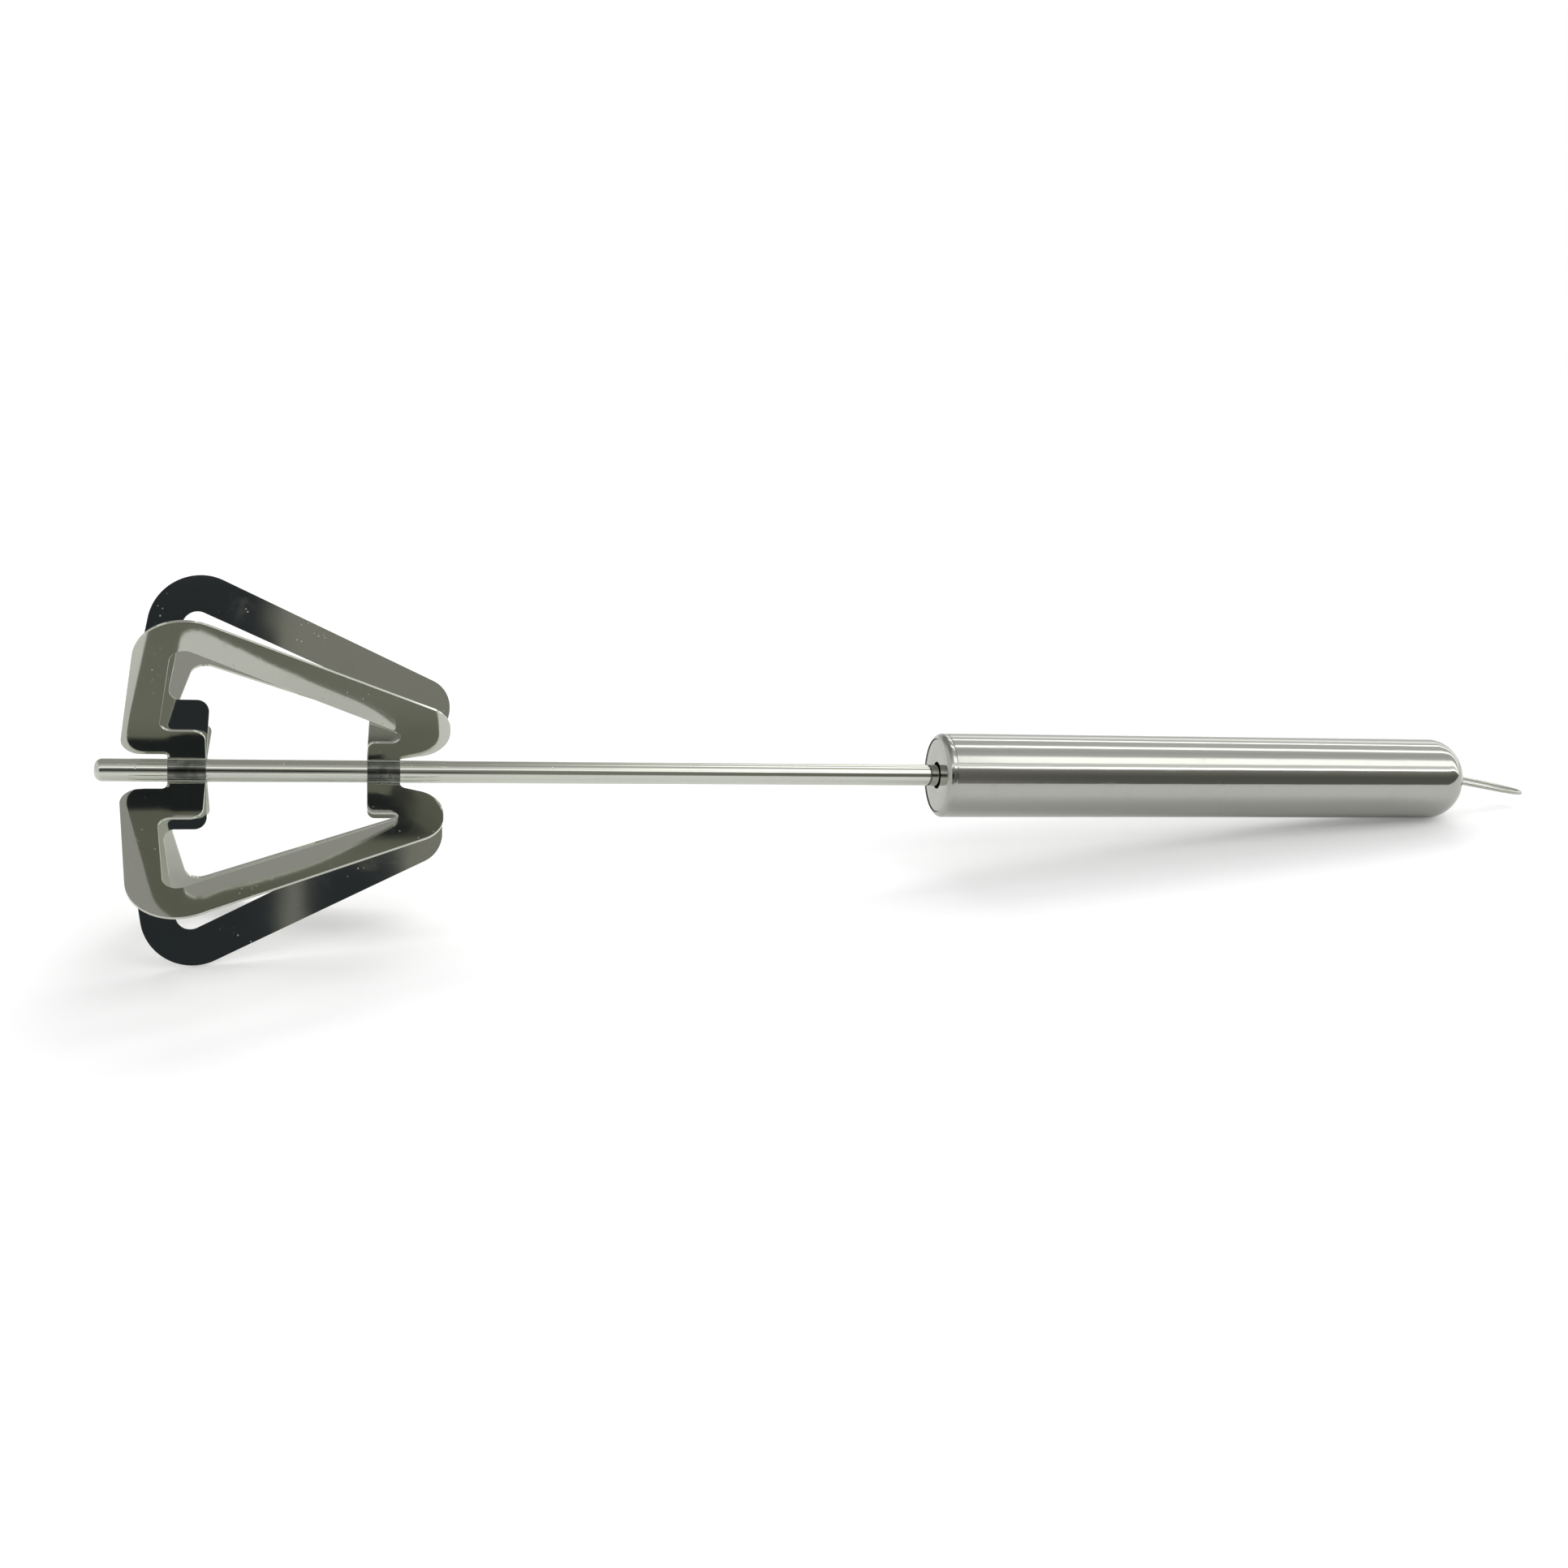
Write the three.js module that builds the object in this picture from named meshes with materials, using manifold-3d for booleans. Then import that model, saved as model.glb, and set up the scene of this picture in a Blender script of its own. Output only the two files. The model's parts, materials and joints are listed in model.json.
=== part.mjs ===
// Hand push churner: six polished wings on a thin shaft that spins when its tubular handle is pushed down.
// Units are millimetres. Along the shaft, "a" runs from the free tip (0) to the hanging loop; "r" is a distance
// from the shaft's axis. The shaft is modelled along +X and the whole object is then laid down on the floor.
import * as THREE from 'three';
import { mergeVertices } from 'three/addons/utils/BufferGeometryUtils.js';
import Module from 'manifold-3d';

const wasm = await Module();
wasm.setup();

const GAP = 0.2;
const CUT_PAST = 1;
const RAD = Math.PI / 180;
const FULL_TURN = 2 * Math.PI;

// Shaft: a tube with a closed, rounded tip
const SHAFT_RADIUS = 2.5;
const SHAFT_BORE = 1.9;
const SHAFT_END = 203.6;
const TIP_ROUND = 1.7;
const TIP_WALL = 4;

// Wings: a stamped strip that runs from a front tab to a rear tab, around a triangular opening.
// Its straight edges are lines r = slope * a + height, except the front edge, a = slope * r + start. Between the
// outer taper and the heel, the tail is nearly a half circle.
const SHEET = 0.6;
const FRONT_TAB = [15.1, 23];
const REAR_TAB = [56.9, 64];
const FRONT_EDGE = { slope: 0.134, start: 4.6 };
const FRONT_STRIP = 7.4;
const TAPER = { slope: -0.462, height: 52.5 };
const INNER_TAPER = { slope: -0.452, height: 43.4 };
const HEEL = { slope: 0.3, height: -14.2 };
const REAR_END = 73.75;
const FRONT_ROOT_R = 5.9;
const FRONT_SHOULDER_R = 14.5;
const REAR_SHOULDER_R = 12.9;
const WING_ROOT_R = 4.6;
const ROUND = {
  root: 1.5,
  neck: 4,
  outer: 10.8,
  tail: 6.9,
  rearShoulder: 1.6,
  slot: 1.1,
  innerFront: 3.1,
  innerShoulder: 2.3,
  frontShoulder: 2.7,
};

// A wing whose bend has taken more of the strip is dropped: these are the shares that its edges sink by.
// Both tapers turn downwards about the place TURN_FROM.
const DROP = {
  frontRoot: 0.35,
  rearShoulder: 1.5,
  heel: 0.7,
  slotRound: 0.3,
  outerSlope: 0.0075,
  innerSlope: 0.023,
};
const TURN_FROM = 20;

// Frames: two wings each, joined by straps that wrap the shaft on one side. Angles are read around the shaft from
// the horizontal on the front side (-Y), upwards. "lean" slides a wing back as it rises, and "drops" are those of
// the wing below the strap's middle and the one above it. Hand fitting skews the two apart and leaves one longer.
const STRAP_REACH = 5.6;
const BEND_ROUND = 0.9;
const FIT_SKEW = 1.2;
const FIT_TAIL = 0.55;
const FRAMES = [
  { name: 'near_frame', middle: 22.5, half: 45, layer: 0, lean: 0.3, drops: [0, 2.6] },
  { name: 'flat_frame', middle: 202.5, half: 90, layer: 0, lean: 2.2, drops: [1.7, -0.8] },
  { name: 'far_frame', middle: 202.5, half: 45, layer: 1, lean: 2.6, drops: [0, 0] },
];

// Handle: a drawn tube with a domed end and a rolled front rim around a disc
const HANDLE_RADIUS = 10;
const HANDLE_WALL = 0.7;
const HANDLE_BORE = HANDLE_RADIUS - HANDLE_WALL;
const HANDLE_FRONT = 189;
const HANDLE_END = 327.9;
const DOME_ROUND = 7.7;
const RIM_ROUND = 1.5;
const RIM_LIP = 8.75;
const RIM_DEPTH = 2;
const DISC_RADIUS = 8.6;
const DISC_THICK = 0.9;
const DISC_START = HANDLE_FRONT + 0.5;
const DISC_HOLE = 3.2;

// Drive: a twisted strip is fixed to the handle and runs through the slotted nut on the shaft into its bore
const BUSH_BORE = SHAFT_RADIUS + 0.1;
const BUSH_START = HANDLE_FRONT + RIM_DEPTH + GAP;
const BUSH_END = BUSH_START + 9;
const NUT_RADIUS = 7.6;
const NUT_START = BUSH_END + GAP;
const NUT_PLATE_START = NUT_START + 3.4;
const NUT_END = NUT_PLATE_START + 1.5;
const STRIP_WIDTH = 3;
const STRIP_THICK = 0.8;
const STRIP_START = 196;
const STRIP_LEAD = 40;
const STRIP_STEP = 1.6;
const NUT_SLOT = [3.8, 1.7];
const WASHER_RADIUS = 8.2;
const WASHER_BORE = 3.6;
const WASHER_START = NUT_END + GAP;
const WASHER_END = WASHER_START + 1;
const PLUG_START = 313;
const PLUG_END = 319;
const PLUG_SLOT = [STRIP_WIDTH + 0.5, STRIP_THICK + 0.5];
const SPRING_RADIUS = 7.2;
const SPRING_WIRE = 0.5;
const SPRING_TURNS = 14;

// Hanging loop: a wire bail whose feet pass through two holes in the domed end
const LOOP_WIRE = 0.5;
const LOOP_HALF_WIDTH = 4.2;
const LOOP_REACH = 20.7;
const LOOP_FOOT = 3;
const LOOP_TOE = 1.6;
const LOOP_HOLE = 1.15;
const LOOP_PLANE = 8;
const LOOP_DROOP = 9.5;

// Resting pose: the handle's rear and the two lowest wings touch the floor
const REST_TILT = 5.58;

const STEEL = { roughness: 0.12, metalness: 1 };
const paint = {
  wing: new THREE.MeshStandardMaterial({ color: 0xb4b7ac, ...STEEL }),
  shaft: new THREE.MeshStandardMaterial({ color: 0xc2c5bd, ...STEEL }),
  handle: new THREE.MeshStandardMaterial({ color: 0xb0b3a9, roughness: 0.3, metalness: 1 }),
  disc: new THREE.MeshStandardMaterial({ color: 0xb8bbb0, roughness: 0.4, metalness: 1 }),
  nylon: new THREE.MeshStandardMaterial({ color: 0x22262a, roughness: 0.55, metalness: 0 }),
  wire: new THREE.MeshStandardMaterial({ color: 0x9fa298, roughness: 0.25, metalness: 1 }),
};

// Solids for joining and cutting
function toSolid(geometry) {
  const bare = geometry.clone();
  bare.deleteAttribute('normal');
  bare.deleteAttribute('uv');
  const merged = mergeVertices(bare, 1e-4);
  const point = (i) => new THREE.Vector3().fromBufferAttribute(merged.attributes.position, i);
  const triangles = [];
  let volume = 0;
  for (let i = 0; i < merged.index.count; i += 3) {
    const [p, q, s] = [0, 1, 2].map((k) => merged.index.getX(i + k));
    if (p === q || q === s || s === p) continue;
    triangles.push([p, q, s]);
    volume += point(p).dot(point(q).cross(point(s)));
  }
  const facingOut = volume > 0 ? triangles : triangles.map(([p, q, s]) => [p, s, q]);
  return new wasm.Manifold(new wasm.Mesh({
    numProp: 3,
    vertProperties: new Float32Array(merged.attributes.position.array),
    triVerts: new Uint32Array(facingOut.flat()),
  }));
}

function toGeometry(solid) {
  const mesh = solid.getMesh();
  const geometry = new THREE.BufferGeometry();
  geometry.setAttribute('position', new THREE.BufferAttribute(new Float32Array(mesh.vertProperties), 3));
  geometry.setIndex(new THREE.BufferAttribute(new Uint32Array(mesh.triVerts), 1));
  geometry.computeVertexNormals();
  return geometry;
}

// A solid of revolution about the shaft from an outline of [a, r] points, closed on itself or on the axis
function turned(points, segments = 48) {
  const outline = points.map(([a, r]) => new THREE.Vector2(r, a));
  if (points[0][1] > 0) outline.push(outline[0].clone());
  return toSolid(new THREE.LatheGeometry(outline, segments).rotateZ(-Math.PI / 2));
}

function rodAlong(start, end, radius, segments = 48) {
  return turned([[start, 0], [start, radius], [end, radius], [end, 0]], segments);
}

function ringAlong(start, end, inner, outer, segments = 48) {
  return turned([[start, inner], [start, outer], [end, outer], [end, inner]], segments);
}

function boxAlong(start, end, [width, thick], turn) {
  const box = new THREE.BoxGeometry(end - start, width, thick);
  box.translate((start + end) / 2, 0, 0);
  return toSolid(box.rotateX(turn));
}

// Points of an arc in an [a, r] outline
function arc(a, r, radius, from, to, steps) {
  return Array.from({ length: steps + 1 }, (_, i) => {
    const angle = (from + ((to - from) * i) / steps) * RAD;
    return [a + radius * Math.cos(angle), r + radius * Math.sin(angle)];
  });
}

// Arc points of a corner rounded with a tangent arc
function roundCorner(before, corner, after, radius) {
  const steps = Math.max(4, Math.round(radius * 1.4));
  const toBefore = before.clone().sub(corner).normalize();
  const toAfter = after.clone().sub(corner).normalize();
  const half = Math.acos(THREE.MathUtils.clamp(toBefore.dot(toAfter), -1, 1)) / 2;
  const inwards = toBefore.clone().add(toAfter).normalize();
  const centre = corner.clone().addScaledVector(inwards, radius / Math.sin(half));
  const reach = radius / Math.tan(half);
  const first = corner.clone().addScaledVector(toBefore, reach).sub(centre);
  const last = corner.clone().addScaledVector(toAfter, reach).sub(centre);
  const sweep = Math.atan2(first.cross(last), first.dot(last));
  return Array.from({ length: steps + 1 }, (_, i) =>
    first.clone().rotateAround(new THREE.Vector2(), (sweep * i) / steps).add(centre));
}

// A closed outline from corners [x, y, round]; a corner without a round stays sharp
function roundedOutline(corners) {
  const at = corners.map(([x, y]) => new THREE.Vector2(x, y));
  return corners.flatMap(([, , round], i) => {
    if (!round) return [at[i]];
    const before = at[(i + at.length - 1) % at.length];
    const after = at[(i + 1) % at.length];
    return roundCorner(before, at[i], after, round);
  });
}

// Where two straight lines r = slope * a + height cross
function crossing(one, other) {
  const a = (other.height - one.height) / (one.slope - other.slope);
  return [a, one.slope * a + one.height];
}

// A line turned downwards about TURN_FROM
function turnedDown(line, slope) {
  return { slope: line.slope - slope, height: line.height + TURN_FROM * slope };
}

// One wing in the (a, r) plane
function wingOutline(drop, rearEnd) {
  const frontRoot = FRONT_ROOT_R - DROP.frontRoot * drop;
  const frontShoulder = FRONT_SHOULDER_R - drop;
  const rearShoulder = REAR_SHOULDER_R - DROP.rearShoulder * drop;
  const heelAt = (a) => HEEL.slope * a + HEEL.height - DROP.heel * drop;
  const taper = turnedDown(TAPER, DROP.outerSlope * drop);
  const innerTaper = turnedDown(INNER_TAPER, DROP.innerSlope * drop);
  const steep = 1 / FRONT_EDGE.slope;
  const frontAt = (r) => FRONT_EDGE.start + FRONT_EDGE.slope * r;
  const front = { slope: steep, height: -FRONT_EDGE.start * steep };
  const innerFront = { slope: steep, height: -(FRONT_EDGE.start + FRONT_STRIP) * steep };
  return roundedOutline([
    [FRONT_TAB[0], WING_ROOT_R],
    [FRONT_TAB[0], frontRoot, Math.min(ROUND.root, frontRoot - WING_ROOT_R)],
    [frontAt(frontRoot), frontRoot, ROUND.neck],
    [...crossing(front, taper), ROUND.outer],
    [rearEnd, taper.slope * rearEnd + taper.height, ROUND.tail],
    [rearEnd, heelAt(rearEnd), ROUND.tail],
    [REAR_TAB[1], heelAt(REAR_TAB[1]), ROUND.root],
    [REAR_TAB[1], WING_ROOT_R],
    [REAR_TAB[0], WING_ROOT_R],
    [REAR_TAB[0], rearShoulder, ROUND.rearShoulder],
    [(rearShoulder - innerTaper.height) / innerTaper.slope, rearShoulder, ROUND.slot + DROP.slotRound * drop],
    [...crossing(innerTaper, innerFront), ROUND.innerFront],
    [frontAt(frontShoulder) + FRONT_STRIP, frontShoulder, ROUND.innerShoulder],
    [FRONT_TAB[1], frontShoulder, ROUND.frontShoulder],
    [FRONT_TAB[1], WING_ROOT_R],
  ]);
}

// The direction at an angle around the shaft, read from the horizontal on the front side upwards
function around(angle) {
  return new THREE.Vector3(0, -Math.cos(angle * RAD), Math.sin(angle * RAD));
}

// One flat wing in its own plane through the shaft's axis
function wingPlate(angle, lean, drop, rearEnd) {
  const slide = Math.tan(lean * RAD);
  const outline = wingOutline(drop, rearEnd).map(({ x, y }) => new THREE.Vector2(x + slide * (y - WING_ROOT_R), y));
  const plate = new THREE.ExtrudeGeometry(new THREE.Shape(outline), { depth: SHEET, bevelEnabled: false });
  plate.translate(0, 0, -SHEET / 2);
  const along = new THREE.Vector3(1, 0, 0);
  const up = around(angle);
  plate.applyMatrix4(new THREE.Matrix4().makeBasis(along, up, along.clone().cross(up)));
  return toSolid(plate);
}

// The bent strap that joins two wings around the shaft, seen along the shaft, as a band of sheet
function strapSection(half, layer) {
  const middle = SHAFT_RADIUS + GAP + SHEET / 2 + layer * (SHEET + GAP);
  const [outer, inner] = [middle + SHEET / 2, middle - SHEET / 2];
  const [tight, wide] = [BEND_ROUND - SHEET / 2, BEND_ROUND + SHEET / 2];
  const bendAt = middle + BEND_ROUND;
  const side = half * RAD;
  const wrap = side - Math.asin(BEND_ROUND / bendAt);
  const [cx, cy] = [bendAt * Math.cos(wrap), bendAt * Math.sin(wrap)];
  const quarter = Math.PI / 2;
  const tip = (sign, offset) =>
    new THREE.Vector2(STRAP_REACH, (offset * SHEET) / 2).rotateAround(new THREE.Vector2(), sign * side).toArray();
  const shape = new THREE.Shape();
  shape.moveTo(...tip(1, -1));
  shape.absarc(cx, cy, tight, side + quarter, wrap + 2 * quarter, false);
  shape.absarc(0, 0, outer, wrap, -wrap, true);
  shape.absarc(cx, -cy, tight, 2 * quarter - wrap, 3 * quarter - side, false);
  shape.lineTo(...tip(-1, 1));
  shape.lineTo(...tip(-1, -1));
  shape.absarc(cx, -cy, wide, 3 * quarter - side, 2 * quarter - wrap, true);
  shape.absarc(0, 0, inner, -wrap, wrap, false);
  shape.absarc(cx, cy, wide, wrap + 2 * quarter, side + quarter, true);
  shape.lineTo(...tip(1, 1));
  return shape;
}

function strap({ middle, half, layer }, [start, end]) {
  const section = strapSection(half, layer);
  const band = new THREE.ExtrudeGeometry(section, { depth: end - start, bevelEnabled: false, curveSegments: 8 });
  band.applyMatrix4(new THREE.Matrix4().makeBasis(around(middle), around(middle + 90), new THREE.Vector3(-1, 0, 0)));
  band.translate(end, 0, 0);
  return toSolid(band);
}

// The wing below the strap's middle comes first, and the one above it second
function wingFrame(frame) {
  const lowerFirst = frame.middle < 90 ? [-1, 1] : [1, -1];
  const wings = lowerFirst.map((side, i) => {
    const hand = i === 0 ? -1 : 1;
    const angle = frame.middle + side * frame.half;
    return wingPlate(angle, frame.lean + hand * FIT_SKEW, frame.drops[i], REAR_END + hand * FIT_TAIL);
  });
  return [...wings, strap(frame, FRONT_TAB), strap(frame, REAR_TAB)].reduce((joined, next) => joined.add(next));
}

function shaft() {
  return turned([
    [0, 0],
    ...arc(TIP_ROUND, SHAFT_RADIUS - TIP_ROUND, TIP_ROUND, 180, 90, 6),
    [SHAFT_END, SHAFT_RADIUS],
    [SHAFT_END, SHAFT_BORE],
    [TIP_WALL, SHAFT_BORE],
    [TIP_WALL, 0],
  ], 40);
}

// Handle: the drawn tube, its rolled rim turned in to hold the disc, and two holes for the loop's feet
function handleShell() {
  const domeA = HANDLE_END - DOME_ROUND;
  const domeR = HANDLE_RADIUS - DOME_ROUND;
  const rimR = HANDLE_RADIUS - RIM_ROUND;
  const lipAngle = Math.asin((RIM_LIP - rimR) / RIM_ROUND) / RAD;
  const shell = turned([
    [HANDLE_END, 0],
    ...arc(domeA, domeR, DOME_ROUND, 0, 90, 8),
    ...arc(HANDLE_FRONT + RIM_ROUND, rimR, RIM_ROUND, 90, 180 - lipAngle, 6),
    [HANDLE_FRONT + RIM_DEPTH, RIM_LIP],
    [HANDLE_FRONT + RIM_DEPTH, HANDLE_BORE],
    ...arc(domeA, domeR, DOME_ROUND - HANDLE_WALL, 90, 0, 6),
    [HANDLE_END - HANDLE_WALL, 0],
  ], 56);
  const holes = [-1, 1].map((side) => {
    const hole = new THREE.CylinderGeometry(LOOP_HOLE, LOOP_HOLE, 2 * DOME_ROUND, 16).rotateZ(Math.PI / 2);
    const across = around(LOOP_PLANE).multiplyScalar(side * LOOP_HALF_WIDTH);
    return toSolid(hole.translate(HANDLE_END, across.y, across.z));
  });
  return holes.reduce((solid, hole) => solid.subtract(hole), shell);
}

function frontDisc() {
  return ringAlong(DISC_START, DISC_START + DISC_THICK, DISC_HOLE, DISC_RADIUS);
}

// Black bush: a boss inside the rim and a body that fills the tube behind it
function guideBush() {
  return turned([
    [DISC_START + DISC_THICK + GAP, BUSH_BORE],
    [DISC_START + DISC_THICK + GAP, DISC_RADIUS - GAP],
    [BUSH_START, DISC_RADIUS - GAP],
    [BUSH_START, HANDLE_BORE - GAP],
    [BUSH_END, HANDLE_BORE - GAP],
    [BUSH_END, BUSH_BORE],
  ], 40);
}

// Twist of the drive strip at a place along it, straight where the plug holds it
function stripTurn(a) {
  return (FULL_TURN * Math.min(a, PLUG_START - STRIP_WIDTH)) / STRIP_LEAD;
}

function driveStrip() {
  const end = PLUG_END - 2 * STRIP_THICK;
  const steps = Math.round((end - STRIP_START) / STRIP_STEP);
  const bar = new THREE.BoxGeometry(end - STRIP_START, STRIP_WIDTH, STRIP_THICK, steps, 1, 1);
  bar.translate((STRIP_START + end) / 2, 0, 0);
  const { position } = bar.attributes;
  for (let i = 0; i < position.count; i += 1) {
    const p = new THREE.Vector3().fromBufferAttribute(position, i);
    p.applyAxisAngle(new THREE.Vector3(1, 0, 0), stripTurn(p.x));
    position.setXYZ(i, p.x, p.y, p.z);
  }
  return toSolid(bar);
}

// A cup that holds the shaft's inner end, with a slotted floor that the strip turns as it passes
function driveNut() {
  const turn = stripTurn((NUT_PLATE_START + NUT_END) / 2);
  return rodAlong(NUT_START, NUT_END, NUT_RADIUS, 40)
    .subtract(rodAlong(NUT_START - CUT_PAST, NUT_PLATE_START, SHAFT_RADIUS + GAP, 40))
    .subtract(boxAlong(NUT_PLATE_START - CUT_PAST, NUT_END + CUT_PAST, NUT_SLOT, turn));
}

function thrustWasher() {
  return ringAlong(WASHER_START, WASHER_END, WASHER_BORE, WASHER_RADIUS, 40);
}

function endPlug() {
  return rodAlong(PLUG_START, PLUG_END, HANDLE_BORE - GAP, 40)
    .subtract(boxAlong(PLUG_START - CUT_PAST, PLUG_END - STRIP_THICK, PLUG_SLOT, stripTurn(PLUG_START)));
}

// A wire of round section swept along a curve
function swept(curve, radius, steps, sides) {
  const section = new THREE.Shape().absarc(0, 0, radius, 0, FULL_TURN, false);
  const outline = new THREE.Shape(section.getPoints(sides).slice(0, sides));
  return toSolid(new THREE.ExtrudeGeometry(outline, { steps, extrudePath: curve, bevelEnabled: false }));
}

class Coil extends THREE.Curve {
  getPoint(t, target = new THREE.Vector3()) {
    const start = WASHER_END + GAP + SPRING_WIRE;
    const end = PLUG_START - GAP - SPRING_WIRE;
    const turn = FULL_TURN * SPRING_TURNS * t;
    return target.set(start + (end - start) * t, SPRING_RADIUS * Math.cos(turn), SPRING_RADIUS * Math.sin(turn));
  }
}

function returnSpring() {
  return swept(new Coil(), SPRING_WIRE, SPRING_TURNS * 12, 6);
}

// Half of the bail as [reach, half width]: toe, foot, straight leg and round end
function hangingLoop() {
  const half = [
    [-LOOP_FOOT, LOOP_HALF_WIDTH + LOOP_TOE],
    [-LOOP_FOOT, LOOP_HALF_WIDTH + LOOP_TOE * 0.4],
    [-LOOP_FOOT * 0.7, LOOP_HALF_WIDTH],
    [0, LOOP_HALF_WIDTH],
    [LOOP_REACH * 0.4, LOOP_HALF_WIDTH],
    [LOOP_REACH * 0.66, LOOP_HALF_WIDTH * 0.93],
    [LOOP_REACH * 0.87, LOOP_HALF_WIDTH * 0.68],
    [LOOP_REACH * 0.975, LOOP_HALF_WIDTH * 0.3],
  ];
  const bail = [...half, [LOOP_REACH, 0], ...half.map(([reach, width]) => [reach, -width]).reverse()];
  const across = around(LOOP_PLANE);
  const down = around(LOOP_PLANE - 90);
  const along = new THREE.Vector3(Math.cos(LOOP_DROOP * RAD), 0, 0).addScaledVector(down, Math.sin(LOOP_DROOP * RAD));
  const pivot = new THREE.Vector3(HANDLE_END - HANDLE_WALL / 2, 0, 0);
  const points = bail.map(([reach, width]) =>
    pivot.clone().addScaledVector(along, reach).addScaledVector(across, width));
  return swept(new THREE.CatmullRomCurve3(points, false, 'centripetal'), LOOP_WIRE, 52, 8);
}

const handle = [
  ['handle_shell', handleShell(), paint.handle],
  ['front_disc', frontDisc(), paint.disc],
  ['guide_bush', guideBush(), paint.nylon],
  ['end_plug', endPlug(), paint.nylon],
  ['drive_strip', driveStrip(), paint.wire],
  ['return_spring', returnSpring(), paint.wire],
];
const thrust = [['thrust_washer', thrustWasher(), paint.wire]];
const whisk = [
  ['drive_nut', driveNut(), paint.nylon],
  ['shaft', shaft(), paint.shaft],
  ...FRAMES.map((frame) => [frame.name, wingFrame(frame), paint.wing]),
];
const loop = [['hanging_loop', hangingLoop(), paint.wire]];

const churner = new THREE.Group();
for (const pieces of [handle, thrust, whisk, loop]) {
  const group = new THREE.Group();
  for (const [name, solid, material] of pieces) {
    const mesh = new THREE.Mesh(toGeometry(solid), material);
    mesh.name = name;
    group.add(mesh);
  }
  churner.add(group);
}

// Lay the churner down: origin on the floor under the middle of its bounding box
churner.rotation.y = REST_TILT * RAD;
churner.updateMatrixWorld(true);
const box = new THREE.Box3().setFromObject(churner, true);
const centre = box.getCenter(new THREE.Vector3());
churner.position.set(-centre.x, -centre.y, -box.min.z);
churner.updateMatrixWorld(true);

export default churner;
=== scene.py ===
# %% [markdown]
# This is a hand push churner, a stainless steel hand tool. Pushing its tubular handle down makes a thin
# shaft spin, and six polished sheet wings at the shaft's end froth what they stand in. The lesson dresses
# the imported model: it builds fine sheet, tube and wire around the plain solids, gives each its metal, and
# sets it in a pale studio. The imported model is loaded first, because everything else is placed from it.

# %% Load the frame
import json
import math

import bmesh
import bpy
from mathutils import Matrix, Vector


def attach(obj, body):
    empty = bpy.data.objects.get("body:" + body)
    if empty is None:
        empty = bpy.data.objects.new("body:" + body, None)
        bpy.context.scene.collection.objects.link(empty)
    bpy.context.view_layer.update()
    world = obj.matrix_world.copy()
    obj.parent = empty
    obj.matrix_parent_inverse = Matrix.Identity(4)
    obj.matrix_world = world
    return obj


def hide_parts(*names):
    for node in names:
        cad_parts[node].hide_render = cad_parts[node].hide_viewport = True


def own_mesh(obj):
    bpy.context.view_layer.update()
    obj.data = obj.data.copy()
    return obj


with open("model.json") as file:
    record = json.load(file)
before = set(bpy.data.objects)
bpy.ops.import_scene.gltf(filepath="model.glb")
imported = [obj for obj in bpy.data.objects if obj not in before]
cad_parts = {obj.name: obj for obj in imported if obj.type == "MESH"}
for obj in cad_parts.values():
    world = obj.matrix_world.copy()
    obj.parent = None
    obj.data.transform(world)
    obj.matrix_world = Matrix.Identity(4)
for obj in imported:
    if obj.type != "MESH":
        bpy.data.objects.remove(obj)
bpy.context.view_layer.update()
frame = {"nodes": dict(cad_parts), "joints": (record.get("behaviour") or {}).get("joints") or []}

MM = 0.001
joints = {joint["name"]: joint for joint in frame["joints"]}
print("nodes:", sorted(frame["nodes"]))

# %% [markdown]
# Nearly every piece is round or bent about the shaft, so it is easiest to model along +X from the shaft's
# tip and to lay the result down afterwards. The joint that the whisk spins on says where that line runs in
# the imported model: its axis gives the tilt, and its point lies 210 mm behind the tip.

# %% Lay pieces down on the floor
SPIN_POINT_A = 210 * MM
axis = Vector(joints["whisk_spin"]["axis"]).normalized()
tip = Vector(joints["whisk_spin"]["pos_m"]) - axis * SPIN_POINT_A
tilt = math.atan2(-axis.z, axis.x)
LAY = Matrix.Translation(tip) @ Matrix.Rotation(tilt, 4, "Y")
ALONG = Vector((1, 0, 0))
print("tilt", round(math.degrees(tilt), 2), "tip", [round(v, 4) for v in tip])


def around(degrees):
    """The direction at an angle around the shaft, read from the front horizontal (-Y) upwards."""
    angle = math.radians(degrees)
    return Vector((0, -math.cos(angle), math.sin(angle)))


# %% [markdown]
# The photograph was taken from in front of the wings and a little above them, 0.4 m away, looking down 23
# degrees and slightly to the right. From so close, the perspective is strong. The camera comes first.

# %% Camera at the photograph's view
CAMERA_PLACE = Vector((-0.10883, -0.38801, 0.19371))
CAMERA_DOWN = math.radians(23.135)
CAMERA_RIGHT = math.radians(12.601)
CAMERA_ROLL = math.radians(0.053)
CAMERA_LENS = 42.455
SENSOR = 36

camera = bpy.data.objects.new("camera", bpy.data.cameras.new("camera"))
bpy.context.scene.collection.objects.link(camera)
turn = Matrix.Rotation(-CAMERA_RIGHT, 4, "Z") @ Matrix.Rotation(math.pi / 2 - CAMERA_DOWN, 4, "X")
camera.matrix_world = Matrix.Translation(CAMERA_PLACE) @ turn @ Matrix.Rotation(CAMERA_ROLL, 4, "Z")
camera.data.lens = CAMERA_LENS
camera.data.sensor_width = SENSOR
camera.data.clip_start = 0.01
bpy.context.scene.camera = camera
print("lens of", CAMERA_LENS, "mm,", round(CAMERA_PLACE.length, 3), "m from the middle of the churner")

# %% [markdown]
# Shader trees are easier to read when a node and its settings take one line. `add` makes a node, fills its
# sockets and links those that are given another node's output.


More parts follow.
